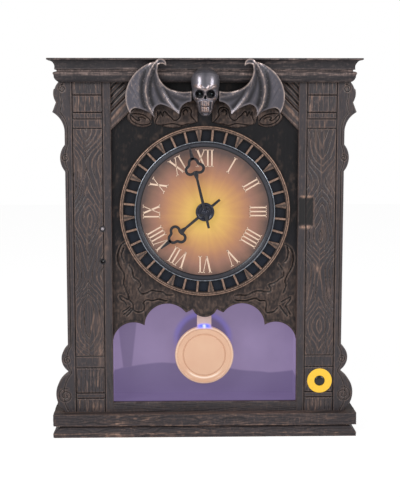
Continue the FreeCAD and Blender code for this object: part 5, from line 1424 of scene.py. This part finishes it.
cornice = {
    "low": 402.0,
    "height": 26.0,
    "reach": 18.6,
    "frontShare": 0.75,
    "shares": [
        (0.32, 0.0),
        (0.54, 0.12, 0.61, 0.30),
        (0.66, 0.37, 0.59, 0.43),
        (0.44, 0.45),
        (0.44, 0.51),
        (0.57, 0.53),
        (0.63, 0.80, 0.95, 0.93),
        (1.0, 0.93),
        (1.0, 1.0),
    ],
}
base = {
    "halfWidth": 173.3,
    "frontReach": 12.0,
    "plinth": [(17.8, 0.0), (17.8, 4.6), (10.0, 12.4), (10.0, 13.6)],
    "ledge": [(17.8, 13.6), (17.8, 27.0)],
    "knots": [-128.0, -66.0, 4.0, 58.0, 117.0, -196.0, 204.0],
    "middle": 6.5,
    "knotPitch": 2.6,
    "scuffAt": -104.0,
}


def boardGrain(lowZ, seed):
    def field(spot, height, reach):
        level = height - lowZ - base["middle"]
        wave = sum(3.2 * peak(np.hypot((spot - knot) / 3.2, level), 4.5) for knot in base["knots"])
        warp = (noise(spot, height, 26.0, 5.0, seed) - 0.5) * 3.0
        lines = bands(level + wave * np.sign(level + 0.01) + warp, base["knotPitch"])
        face = (reach > 17.0) | ((height > lowZ + 4) & (reach > 10.2))
        cut = softStep(lines, 0.6, 0.95) * face
        scuffs = noise(spot, height, 5.0, 1.1, seed + 1) * noise(spot, height, 34.0, 5.0, seed + 2)
        patch = peak(spot - base["scuffAt"], 13) * peak(level + 3.5, 2.4) * softStep(scuffs, 0.1, 0.35)
        rims = 0.14 * softStep(lines, 0.2, 0.5) * (1 - softStep(lines, 0.5, 0.7)) * face
        worn = np.maximum.reduce([rims, 0.6 * softStep(scuffs, 0.46, 0.75), patch])
        return -0.25 * cut, worn, 0.45 * cut

    return field


path = tracePath(cornice["shares"], 0, cornice["reach"], cornice["low"], cornice["height"], 0.9)
sweepMoulding("corniceMoulding", densify(path, 0.8), cornice["frontShare"], "crown_cornice", mouldingResin)
frontShare = base["frontReach"] / (base["halfWidth"] - case["halfWidth"])
for word, lowZ, seed in (("ledge", 13.6, 100), ("plinth", 0.0, 110)):
    profile = densify(base[word], 0.7)
    sweepMoulding(word + "Moulding", profile, frontShare, "base_" + word, baseResin, boardGrain(lowZ, seed))

print("stage: bezel and dial")

dialCentre = (0, case["dialZ"])
bezel = {
    "outer": 96.2,
    "windowOuter": 92.2,
    "windowInner": 79.2,
    "bore": 72.5,
    "frontY": -19.0,
    "barFrontY": -17.9,
    "barBackY": -15.4,
    "innerFrontY": -18.6,
    "barWidth": 2.6,
    "wedgeBase": 8.0,
    "wedgePoint": 1.6,
    "cells": 36,
    "every": 3,
    "turn": -4.4,
    "sides": 180,
}


def makeBezelRims():
    outer, window = bezel["outer"], bezel["windowOuter"]
    front = bezel["frontY"]
    outerProfile = curveOver([
        (outer, -14.0, 0),
        (outer, front + 1.0, 0.5),
        (outer - 0.9, front + 0.15, 0.3),
        (outer - 1.6, front + 0.15, 0.2),
        (outer - 1.9, front + 0.9, 0.2),
        (outer - 2.3, front, 0.2),
        (window + 0.7, front, 0.4),
        (window - 0.6, front + 1.5, 0.4),
        (window - 0.6, -14.0, 0),
    ])
    rim = lathe("bezelOuterRim", outerProfile, dialCentre, bezel["sides"], slot="aged_copper")
    # The darkness ring is painted shade in the groove between the outer rims.
    markByRadius(rim, [(outer - 0.9, 0.9, 1.0), (outer - 2.0, 0.4, -1.0), (window + 1.4, 0.8, 0.8)])
    bore, inner, face = bezel["bore"], bezel["windowInner"], bezel["innerFrontY"]
    innerProfile = curveOver([
        (inner, -15.0, 0),
        (inner, face + 0.3, 0.3),
        (inner - 0.8, face, 0.3),
        (inner - 1.5, face + 0.7, 0.2),
        (inner - 2.0, face + 0.7, 0.2),
        (inner - 2.5, face + 0.1, 0.2),
        (bore + 1.4, -17.6, 0.5),
        (bore, -16.7, 0.2),
        (bore, -16.45, 0),
        (inner - 1.0, -15.0, 0),
    ])
    dressing = {"slot": "aged_copper", "material": bezelSteel}
    ring = lathe("bezelInnerRim", innerProfile, dialCentre, bezel["sides"], **dressing)
    # Its darkness rings are painted shade: in the groove on the rim, and at the bore where the rim drops to
    # the dial.
    markByRadius(ring, [(inner - 0.4, 0.45, 0.9), (inner - 1.7, 0.4, -0.8), (bore + 0.5, 0.9, -0.95)])
    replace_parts(rim, "bezel_ring")


def markByRadius(piece, rings):
    # Rings are a radius, a half width, and wear above zero or darkness below it.
    points = np.array([vertex.co for vertex in piece.data.vertices]) / mm
    away = np.hypot(points[:, 0], points[:, 2] - case["dialZ"])
    amounts = [np.zeros(len(points))] + [peak(away - radius, half) * amount for radius, half, amount in rings]
    setMark(piece.data, "wear", np.maximum.reduce(amounts))
    setMark(piece.data, "darkAndShade", -np.minimum.reduce(amounts))


def rawBar(name, innerWidth, outerWidth):
    # One bar of the bezel, upright over the middle, with a rounded crown.
    low, high = bezel["windowInner"] - 1.0, bezel["windowOuter"] + 0.6
    rows = np.linspace(0, 1, 7)
    section = ((-1.0, 0.0), (-1.0, 0.62), (-0.72, 0.94), (0.0, 1.0), (0.72, 0.94), (1.0, 0.62), (1.0, 0.0))
    points, wear = [], []
    for row in rows:
        half = (innerWidth + (outerWidth - innerWidth) * row) / 2
        for share, lift in section:
            y = bezel["barBackY"] + (bezel["barFrontY"] - bezel["barBackY"]) * lift
            points.append((share * half * mm, y * mm, (low + (high - low) * row) * mm))
            wear.append(lift * abs(share) ** 2 if outerWidth > innerWidth else 0.3 + 0.5 * lift)
    mesh = bpy.data.meshes.new(name)
    mesh.from_pydata(points, [], tubeFaces(len(rows), len(section)))
    setMark(mesh, "wear", wear)
    return newObject(name, mesh)


def spokeTree():
    tree = bpy.data.node_groups.new("barsRoundTheDial", "GeometryNodeTree")
    sockets = {"Geometry": "Geometry", "Count": "Int", "Every": "Int", "Turn": "Float", "Height": "Float"}
    sockets |= {"Bar": "Object", "Wedge": "Object", "Finish": "Material"}
    for word, kind in sockets.items():
        tree.interface.new_socket(word, in_out="INPUT", socket_type="NodeSocket" + kind)
    tree.interface.new_socket("Geometry", in_out="OUTPUT", socket_type="NodeSocketGeometry")
    given = addNode(tree, "NodeGroupInput").outputs
    points = addNode(tree, "GeometryNodePoints", {"Count": given["Count"]})
    index = addNode(tree, "GeometryNodeInputIndex")
    step = addNode(tree, "ShaderNodeMath", {0: 2 * math.pi, 1: given["Count"]}, operation="DIVIDE")
    angle = addNode(tree, "ShaderNodeMath", {0: index, 1: step, 2: given["Turn"]}, operation="MULTIPLY_ADD")
    turn = addNode(tree, "ShaderNodeCombineXYZ", {"Y": angle})
    rest = addNode(tree, "ShaderNodeMath", {0: index, 1: given["Every"]}, operation="MODULO")
    compared = {0: rest, 1: 0.5}
    isWedge = addNode(tree, "FunctionNodeCompare", compared, data_type="FLOAT", operation="LESS_THAN")
    isBar = addNode(tree, "FunctionNodeBooleanMath", {0: isWedge}, operation="NOT")
    both = addNode(tree, "GeometryNodeJoinGeometry")
    for word, chosen in (("Bar", isBar), ("Wedge", isWedge)):
        shape = addNode(tree, "GeometryNodeObjectInfo", {"Object": given[word]}).outputs["Geometry"]
        copies = {"Points": points, "Selection": chosen, "Instance": shape, "Rotation": turn}
        tree.links.new(addNode(tree, "GeometryNodeInstanceOnPoints", copies).outputs[0], both.inputs[0])
    lift = addNode(tree, "ShaderNodeCombineXYZ", {"Z": given["Height"]})
    moved = addNode(tree, "GeometryNodeTransform", {"Geometry": both, "Translation": lift})
    real = addNode(tree, "GeometryNodeRealizeInstances", {"Geometry": moved})
    painted = addNode(tree, "GeometryNodeSetMaterial", {"Geometry": real, "Material": given["Finish"]})
    addNode(tree, "NodeGroupOutput", {"Geometry": painted})
    return tree


def makeBars():
    inputs = {
        "Count": bezel["cells"],
        "Every": bezel["every"],
        "Turn": math.radians(bezel["turn"]),
        "Height": case["dialZ"] * mm,
        "Bar": rawBar("barPattern", bezel["barWidth"], bezel["barWidth"]),
        "Wedge": rawBar("wedgePattern", bezel["wedgePoint"], bezel["wedgeBase"]),
        "Finish": slotMaterials["aged_copper"],
    }
    host = newObject("bezelBars", bpy.data.meshes.new("bezelBars"))
    modifier = host.modifiers.new("nodes", "NODES")
    modifier.node_group = spokeTree()
    for item in modifier.node_group.interface.items_tree:
        if item.in_out == "INPUT" and item.name in inputs:
            modifier[item.identifier] = inputs[item.name]
    shown = host.evaluated_get(bpy.context.evaluated_depsgraph_get())
    mesh = bpy.data.meshes.new_from_object(shown)
    host.modifiers.remove(modifier)
    host.data = mesh
    for pattern in ("Bar", "Wedge"):
        bpy.data.objects.remove(inputs[pattern])
    dress(host, "aged_copper", sharp=35)


dial = {"radius": 77.0, "frontY": -16.5, "numeralLow": 50.6, "numeralHigh": 69.8, "inkHeight": 0.22}
numerals = ["XII", "I", "II", "III", "IIII", "V", "VI", "VII", "VIII", "IX", "X", "XI"]
serif = 0.04
letters = {  # width, then strokes: start, end, width; all in shares of the numeral's height
    "I": (0.24, [
        ((0, 0), (0, 1), 0.082),
        ((-0.10, 0.02), (0.10, 0.02), serif),
        ((-0.10, 0.98), (0.10, 0.98), serif),
    ]),
    "V": (0.56, [
        ((-0.21, 1), (0.01, 0), 0.098),
        ((0.21, 1), (0.0, 0), serif),
        ((-0.31, 0.98), (-0.11, 0.98), serif),
        ((0.12, 0.98), (0.30, 0.98), serif),
    ]),
    "X": (0.58, [
        ((-0.21, 1), (0.21, 0), 0.098),
        ((0.21, 1), (-0.21, 0), serif),
        ((-0.31, 0.98), (-0.11, 0.98), serif),
        ((0.12, 0.98), (0.30, 0.98), serif),
        ((-0.30, 0.02), (-0.12, 0.02), serif),
        ((0.11, 0.02), (0.31, 0.02), serif),
    ]),
}


def makeDial():
    radius, front, back = dial["radius"], dial["frontY"], -14.0
    middle = radius / 2
    profile = [(4.3, back), (4.3, front), (middle, front), (radius, front), (radius, back), (middle, back)]
    lathe("dialSheet", profile, dialCentre, 144, slot="dial_amber", node="dial_face")
    points, faces = [], []
    size = dial["numeralHigh"] - dial["numeralLow"]
    for hour, word in enumerate(numerals):
        start = -sum(letters[letter][0] for letter in word) / 2
        for letter in word:
            width, strokes = letters[letter]
            for (ax, az), (bx, bz), thick in strokes:
                level = az == bz
                steepness = (bz - az) ** 2 / ((bx - ax) ** 2 + (bz - az) ** 2)
                half = thick / 2 if level else thick / 2 / math.sqrt(max(steepness, 0.6))
                across = np.array([0, half] if level else [half, 0])
                first = len(points)
                for depth in (front - dial["inkHeight"], front + 0.05):
                    for end, sign in (((ax, az), -1), ((ax, az), 1), ((bx, bz), 1), ((bx, bz), -1)):
                        aside, up = np.array(end) + sign * across
                        spot = ((start + width / 2 + aside) * size, dial["numeralLow"] + up * size)
                        x, z = turned(spot, hour * math.pi / 6, dialCentre)
                        points.append((x, depth, z))
                quad = [first, first + 1, first + 2, first + 3]
                faces += [quad, [n + 4 for n in reversed(quad)]]
                faces += [[a, a + 4, b + 4, b] for a, b in zip(quad, quad[1:] + quad[:1])]
            start += width
    makePiece("dialNumerals", points, faces, slot="dial_amber", material=numeralInk, sharp=30)


makeBezelRims()
makeBars()
makeDial()

print("stage: hands")

hands = {
    "thickness": 1.4,
    "stem": 3.6,
    "neck": 2.7,
    "tip": 5.0,
    "lobe": 6.3,
    "stroke": 3.1,
    "lobeSide": 5.0,
    "lobeDrop": 2.6,
    "lobeRise": 4.3,
    "bevel": 0.35,
    "blunt": 1.6,
    "flare": 3.0,
    "flareDrop": 5.4,
    "hub": 10.6,
    "hour": {"length": 64.7, "reach": 42.1, "tail": 21.7, "angle": 230.2, "backY": -20.5},
    "minute": {"length": 74.6, "reach": 52.2, "tail": 18.7, "angle": -13.4, "backY": -23.1},
    "boss": 5.2,
    "loopPoints": 168,
}


def makeLoop(name, values, common):
    # The trefoil: the outline of three overlapping rings, smoothed and swept with the hand's section.
    side, drop, rise, stroke = [hands[key] for key in ("lobeSide", "lobeDrop", "lobeRise", "stroke")]
    radius = hands["lobe"] - stroke / 2
    centres = np.array([(-side, -drop), (side, -drop), (0, rise)])
    path = []
    for angle in 2 * math.pi * np.arange(hands["loopPoints"]) / hands["loopPoints"]:
        ray = np.array([math.sin(angle), math.cos(angle)])
        along = centres @ ray
        gap = (centres**2).sum(1) - along**2
        hits = (along + np.sqrt(np.clip(radius**2 - gap, 0, None)))[gap < radius**2]
        path.append(ray * max([6.0, *hits]))
    path = np.array(path)
    for _ in range(14):
        path = (np.roll(path, 1, 0) + 2 * path + np.roll(path, -1, 0)) / 4
    path *= 1.03
    along = np.roll(path, -1, 0) - np.roll(path, 1, 0)
    across = np.stack([along[:, 1], -along[:, 0]], 1) / np.linalg.norm(along, axis=1)[:, None]
    half, back, front = stroke / 2, values["backY"], values["backY"] - hands["thickness"]
    section = [(half, front + 0.3), (half, back)]
    section = [(-half, back), (-half, front + 0.3), (-half + 0.35, front), (half - 0.35, front)] + section
    points = []
    for spot, away in zip(path, across):
        for offset, depth in section:
            x, z = turned(spot + away * offset + (0, values["reach"]), common["turn"], dialCentre)
            points.append((x, depth, z))
    faces = tubeFaces(len(path), len(section), True)
    return makePiece(name, points, faces, body=common["body"], material=common["material"], sharp=35)


def makeHand(name, values, body, node):
    back, front = values["backY"], values["backY"] - hands["thickness"]
    common = {"turn": math.radians(values["angle"]), "centre": dialCentre, "body": body, "sharp": 35}
    common["material"] = slotMaterials["hand_black"]
    stem, neck, tail = hands["stem"] / 2, hands["neck"] / 2, -values["tail"]
    inside = hands["lobe"] - hands["stroke"] / 2
    top = values["reach"] - hands["lobeDrop"] - inside
    tipLow = values["reach"] + hands["lobeRise"] + inside - 0.9
    half, blunt, length = hands["tip"] / 2, hands["blunt"] / 2, values["length"]
    joint, flare = values["reach"] - hands["lobeDrop"] - hands["flareDrop"], hands["flare"]
    outlines = {
        "Flare": [
            (-0.8, joint + 2.6),
            (0.8, joint + 2.6),
            (flare, joint),
            (1.3, joint - 6.5),
            (-1.3, joint - 6.5),
            (-flare, joint),
        ],
        "Stem": [(-stem, 0), (-neck, top), (neck, top), (stem, 0), (neck, tail), (-neck, tail)],
        "Tip": [(-half, tipLow), (-blunt, length), (blunt, length), (half, tipLow)],
    }
    parts = []
    for word, outline in outlines.items():
        shift = (0.02, 0.15) if word == "Flare" else (0, 0)
        parts.append(prism(name + word, outline, back + shift[0], front - shift[1], hands["bevel"], **common))
    parts.append(makeLoop(name + "Loop", values, common))
    if body == "minute_work":
        boss = hands["boss"]
        diamond = [(0, boss), (boss, 0), (0, -boss), (-boss, 0)]
        common["material"] = hubLacquer
        parts.append(prism(name + "Boss", diamond, back + 0.2, front - 0.3, 0.7, **common))
    else:
        hub = hands["hub"]
        profile = curveOver([
            (3.1, back, 0),
            (3.1, front + 0.2, 0),
            (hub - 3.4, front + 0.2, 0.5),
            (hub - 2.0, front - 0.8, 0.5),
            (hub - 0.5, front - 0.8, 0.4),
            (hub, front, 0.4),
            (hub, back, 0),
        ])
        parts.append(lathe(name + "Hub", profile, dialCentre, 64, body=body, material=hubLacquer))
    joined(name, parts, node)


makeHand("hourHand", hands["hour"], "hour_work", "hour_hand")
makeHand("minuteHand", hands["minute"], "minute_work", "minute_hand")
capSteps = [(0, -24.4, 0), (2.6, -24.4, 0), (2.6, -25.2, 0.5), (1.6, -26.05, 0.6), (0, -26.05, 0)]
capDressing = {"body": "minute_work", "slot": "hand_black", "material": hubLacquer, "node": "hand_cap"}
lathe("handCap", curveOver(capSteps), dialCentre, 40, **capDressing)

print("stage: pendulum")

pendulum = {
    "bobZ": 88.0,
    "bobRadius": 34.0,
    "backY": 8.0,
    "frontY": 1.0,
    "rim": 2.6,
    "ring": 24.5,
    "rodHalf": 8.4,
    "rodTop": 141.6,
    "pivotZ": 168.0,
}


def makePendulum():
    radius, rim, ring = pendulum["bobRadius"], pendulum["rim"], pendulum["ring"]
    back, front = pendulum["backY"], pendulum["frontY"]
    profile = curveOver([
        (0, back, 0),
        (radius - 0.4, back, 0),
        (radius, back - 1.0, 0.4),
        (radius, front + 1.1, 0.6),
        (radius - 1.2, front, 0.5),
        (radius - rim, front + 0.1, 0.4),
        (radius - rim - 1.0, front + 1.0, 0.5),
        (ring + 1.0, front + 0.9, 0.3),
        (ring + 0.3, front + 1.7, 0.2),
        (ring - 0.3, front + 1.7, 0.2),
        (ring - 1.0, front + 0.7, 0.3),
        (0, front + 0.35, 0),
    ])
    dressing = {"body": "pendulum", "slot": "bob_cream"}
    lathe("pendulumBob", profile, (0, pendulum["bobZ"]), 128, node="pendulum_bob", **dressing)
    half, low, shoulder = pendulum["rodHalf"], pendulum["bobZ"], pendulum["rodTop"]
    angles, top, pivot = np.linspace(math.pi, 0, 13), half * 0.75, pendulum["pivotZ"]
    crown = [(top * math.cos(angle), pivot + top * math.sin(angle)) for angle in angles]
    outline = [(-half, low), (-half, shoulder)] + crown + [(half, shoulder), (half, low)]
    prism("pendulumRod", outline, 9.6, 8.0, 0.35, node="pendulum_rod", **dressing)


makePendulum()

print("stage: button and sensors")

button = {"at": (132.0, 62.3), "dome": 5.7, "ring": 14.2, "frontY": -21.6}


def makeButton():
    dome, outer = button["dome"], button["ring"]
    arc = [(dome * math.sin(a) * 0.98, -20.3 - 1.3 * math.cos(a)) for a in np.linspace(0, math.pi / 2, 9)]
    arc[0] = (0, button["frontY"])
    foot = [(7.0, -17.2), (7.0, -15.9), (1.7, -15.8), (1.7, -13.4), (0, -13.4)]
    profile = arc + [(dome, -20.1), (dome, -17.3)] + foot
    lathe("buttonDome", profile, button["at"], 48, body="button", slot="button_rubber", node="try_button")
    ring = [(6.0, -20.0, 0), (6.0, -20.35, 0.1), (outer - 0.2, -20.4, 0.1), (outer, -20.25, 0.1)]
    ring = curveOver(ring + [(outer, -19.6, 0), (6.0, -19.6, 0)])
    lathe("yellowRing", ring, button["at"], 96, slot="yellow_disc", node="button_ring")
    collar = [(2.55, -20.15, 0.1), (3.4, -20.15, 0.15), (3.5, -19.4, 0), (3.3, -18.2, 0), (2.55, -18.2, 0)]
    for index, spot in enumerate(stile["sensors"]):
        dressing = {"slot": "black_carving", "material": slotMaterials["hand_black"]}
        lathe(f"sensorCollar{index + 1}", curveOver(collar), spot, 36, **dressing)


makeButton()

print("stage: skull and wings")

skull = {
    "low": 365.0,
    "height": 49.6,
    "half": 15.6,
    "depth": 22.4,
    "backY": -29.6,
    "roundness": 0.76,
    "levels": [  # share of the height, then shares of the half width and of the depth
        (0.000, 0.20, 0.60),
        (0.060, 0.42, 0.78),
        (0.100, 0.47, 0.84),
        (0.270, 0.59, 0.82),
        (0.316, 0.70, 0.84),
        (0.365, 0.83, 0.87),
        (0.450, 0.90, 0.88),
        (0.560, 0.91, 0.93),
        (0.645, 0.98, 1.000),
        (0.700, 0.99, 0.985),
        (0.766, 1.00, 0.945),
        (0.850, 0.97, 0.890),
        (0.900, 0.93, 0.845),
        (0.945, 0.83, 0.760),
        (0.980, 0.62, 0.550),
        (1.000, 0.24, 0.180),
    ],
    "smoothing": 60,
    "middle": -0.6,
    "rows": 190,
    "columns": 150,
    "sockets": [(-6.7, 388.6), (5.4, 388.6)],
    "paired": [  # form, place beside the middle, size, slant, height or depth, wear or shade
        ("line", [(1.2, 392.6), (6, 394.8), (12, 396.6)], 1.7, 0, 1.6, 0.45),
        ("line", [(0.9, 393.2), (5.0, 397.6)], 1.2, 0, 0.6, 0.6),
        ("mound", (10.0, 397.4), (3.0, 1.8), 0, 0.5, 0.6),
        ("line", [(0, 391.0), (2.6, 384.2)], 0.8, 0, 1.0, 0.35),
        ("mound", (11.0, 383.2), (3.4, 2.1), -0.25, 2.0, 0.75),
        ("line", [(3.4, 383.6), (11, 383.6)], 1.2, 0, 1.0, 0.35),
        ("mound", (14.2, 387.0), (1.6, 5.0), 0, 1.4, 0.3),
        ("line", [(8.0, 379.7), (6.6, 370.0)], 1.1, 0, 1.6, 0.45),
        ("line", [(6.2, 379.6), (5.4, 371.0)], 0.7, 0, -1.2, 0.85),
        ("hollow", (11.6, 375.0), (3.6, 5.4), 0.2, -3.2, 0.8),
        ("mound", (13.2, 392.0), (1.6, 4.0), 0, -1.4, 0.4),
        ("mound", (7.4, 405.6), (6.0, 7.0), 0, 0.4, 0.1),
    ],
    "single": [
        ("hollow", (0, 385.2), (1.5, 2.3), 0, -3.0, 1.0),
        ("line", [(0, 399), (0, 410)], 3.0, 0, -0.3, 0.4),
        ("line", [(-4, 367.9), (4, 367.9)], 0.6, 0, -1.0, 0.8),
    ],
}


def featureShape(points, form, where, size, slant, side):
    if form == "line":
        line = [(skull["middle"] + side * x, z) for x, z in where]
        return peak(lineDistance(points, [line], 9), size)
    cos, sin = math.cos(side * slant), math.sin(side * slant)
    offX, offZ = points[:, 0] - skull["middle"] - side * where[0], points[:, 1] - where[1]
    away = np.hypot((offX * cos + offZ * sin) / size[0], (offZ * cos - offX * sin) / size[1])
    return peak(away, 1) if form == "mound" else 1 - softStep(away, 0.55, 1.12)


def makeSkull():
    levels = np.array(skull["levels"])
    shares = np.linspace(0, 1, skull["rows"])
    halves, depths = [np.interp(shares, levels[:, 0], levels[:, n]) for n in (1, 2)]
    for _ in range(skull["smoothing"]):
        for curve in (halves, depths):
            curve[1:-1] = (curve[:-2] + 2 * curve[1:-1] + curve[2:]) / 4
    angles = np.linspace(0, math.pi, skull["columns"])
    across = np.sign(np.cos(angles)) * np.abs(np.cos(angles)) ** skull["roundness"]
    out = np.sin(angles) ** skull["roundness"]
    out[0] = out[-1] = 0
    x = np.outer(halves, across).ravel() * skull["half"]
    z = np.repeat(skull["low"] + shares * skull["height"], len(angles))
    relief = newRelief(x, z)
    points, aside = relief["points"], np.abs(x - skull["middle"])
    features = [(feature, side) for side in (-1, 1) for feature in skull["paired"]]
    for feature, side in features + [(feature, 1) for feature in skull["single"]]:
        *form, height, amount = feature
        shape = featureShape(points, *form, side)
        carve(relief, height * shape, amount * shape * (height > 0), amount * shape * (height < 0))
    underBrow = 1 - softStep(z - 391.0 - 0.34 * aside, -0.2, 1.0)
    for socketX, socketZ in skull["sockets"]:
        away = np.hypot((x - socketX) / 5.0, (z - socketZ) / 4.8)
        socket = (1 - softStep(away, 0.55, 1.12)) * underBrow
        # Painted shade deep in each socket.
        carve(relief, -7.0 * socket, darkAndShade=socket)
    teeth = softStep(5.2 - aside, 0, 0.8) * softStep(z, 369.0, 370.0) * softStep(-z, -382.0, -380.6)
    gaps = peak(np.abs((aside / 2.1 + 0.5) % 1 - 0.5) * 2.1, 0.32) * teeth
    bite = peak(z - 375.2 - 0.03 * aside**2, 0.5) * teeth
    relief["darkAndShade"] *= 1 - teeth
    # Painted shade in the gaps between the teeth and along the bite.
    carve(relief, 1.4 * teeth - 0.7 * gaps - bite, darkAndShade=np.maximum(0.5 * gaps, 0.7 * bite))
    broken = 0.35 + 0.65 * softStep(noise(x, z, 1.2, 1.2, 150), 0.3, 0.7)
    relief["wear"] *= 1 - relief["darkAndShade"]
    carve(relief, wear=0.8 * teeth * broken)
    out = np.tile(out, len(shares))
    front = softStep(out, 0.25, 0.75)
    y = skull["backY"] - np.repeat(depths, len(angles)) * out * skull["depth"] - relief["lift"] * front
    marks = {mark: relief[mark] * front for mark in ("wear", "darkAndShade")}
    dressing = {"slot": "gunmetal", "material": skullLacquer, "sharp": 70, "node": "skull"}
    makePiece("skullCrest", np.stack([x, y, z], 1), tubeFaces(len(shares), len(angles)), marks, **dressing)


wing = {
    "low": 363.8,
    "height": 62.3,
    "span": 87.8,
    "thickness": 2.4,
    "lean": 12.0,
    "footY": -23.0,
    "step": 0.55,
    "shares": [
        (0.175, 0.283),
        (0.279, 0.222, 0.329, 0.058),
        (0.433, 0.167, 0.558, 0.233),
        (0.640, 0.164, 0.630, 0.0),
        (0.746, 0.112, 0.878, 0.162),
        (0.929, 0.128, 0.942, 0.055),
        (0.995, 0.244, 0.998, 0.443),
        (0.904, 0.729, 0.626, 0.974),
        (0.520, 1.010, 0.490, 0.904),
        (0.541, 0.939, 0.591, 0.921),
        (0.601, 0.833),
        (0.541, 0.605, 0.379, 0.469),
        (0.273, 0.446, 0.175, 0.462),
    ],
    "ridges": [
        (0.175, 0.372, 0.470, 0.520, 0.600, 0.870),
        (0.600, 0.930, 0.550, 0.485, 0.329, 0.058),
        (0.626, 0.955, 0.744, 0.550, 0.630, 0.0),
        (0.626, 0.955, 0.965, 0.640, 0.942, 0.055),
    ],
    "ridgeForms": [  # height, spread, wear, shade beside it
        (2.4, 3.4, 0.3, 0.7),
        (2.6, 3.0, 0.4, 0.85),
        (3.8, 3.6, 0.85, 0.95),
        (1.4, 2.4, 0.5, 0.2),
    ],
    "post": (60.0, 408.0, 3.5),
}


def makeWing(side):
    lean = math.atan(wing["lean"] / wing["height"])
    cos, sin = math.cos(lean), math.sin(lean)
    span, stretch = wing["span"], wing["height"] / cos
    outline = tracePath(wing["shares"], 0, span, 0, stretch, 0.9)
    x, z, mask = fillOutline(outline, wing["step"])
    relief = newRelief(x, z)
    points = relief["points"]
    flatX, flatZ = points.T
    gap = lineDistance(points, [outline + outline[:1]], 12)
    tents, crests, valleys = np.zeros((3, len(points)))
    for ridge, (height, reach, wear, shade) in zip(wing["ridges"], wing["ridgeForms"]):
        start, middle, end = [(ridge[n] * span, ridge[n + 1] * stretch) for n in (0, 2, 4)]
        away = lineDistance(points, [[start] + arcThrough(start, middle, end, 2.0)], 14)
        tents = np.maximum(tents, height * np.exp(-np.maximum(away - 0.5, 0) / reach))
        crests = np.maximum(crests, wear * peak(away, 1.3))
        valleys = np.maximum(valleys, shade * peak(away - 4.6, 3.4))
    bound = np.maximum(softStep(flatZ / stretch, 0.34, 0.46), softStep(flatX / span, 0.84, 0.92))
    rim = np.exp(-np.maximum(gap - 0.5, 0)) * bound
    veins = grain(flatX - 0.5 * flatZ, flatZ, 30.0, 4.4, 130, 0.02)
    low = softStep(gap, 1.0, 4.0) * (1 - softStep(tents, 0.4, 2.2))
    droop = 1.8 * np.exp(-gap / 3.0) * softStep(flatX / span, 0.6, 0.8)
    carve(relief, np.maximum(tents, 1.2 * rim) - droop - 0.18 * veins * low)
    ragged = 0.35 + 0.65 * softStep(noise(flatX, flatZ, 1.1, 2.2, 131), 0.35, 0.7)
    flecked = softStep(noise(flatX, flatZ, 0.9, 1.6, 132), 0.7, 0.95) * softStep(tents, 0.5, 2.0)
    carve(relief, wear=np.maximum(crests * ragged, 0.8 * peak(gap - 0.5, 0.7) * (0.2 + 0.8 * bound)))
    carve(relief, wear=0.5 * flecked)
    shaded = np.maximum(0.3 * low * veins, valleys * softStep(gap, 0.8, 3.0))
    carve(relief, darkAndShade=shaded * (1 - relief["wear"]))

    def place(local):
        x, y, z = local.T
        return np.stack([side * x, wing["footY"] + y * cos - z * sin, wing["low"] + y * sin + z * cos], 1)

    name = sideName("wing", side)
    piece = slab(name, x, z, -wing["thickness"], 0.0, mask, relief, place, slot="gunmetal", sharp=55)
    postX, postZ, radius = wing["post"]
    front = wing["footY"] - (postZ - wing["low"]) * math.tan(lean) - 1.0
    profile = [(0, front), (radius, front), (radius, -20.3), (0, -20.3)]
    post = lathe(name + "Post", profile, (side * postX, postZ), 32, material=slotMaterials["gunmetal"])
    joined(name, [piece, post], "wing_right" if side > 0 else "wing_left")


makeSkull()
for side in (-1, 1):
    makeWing(side)
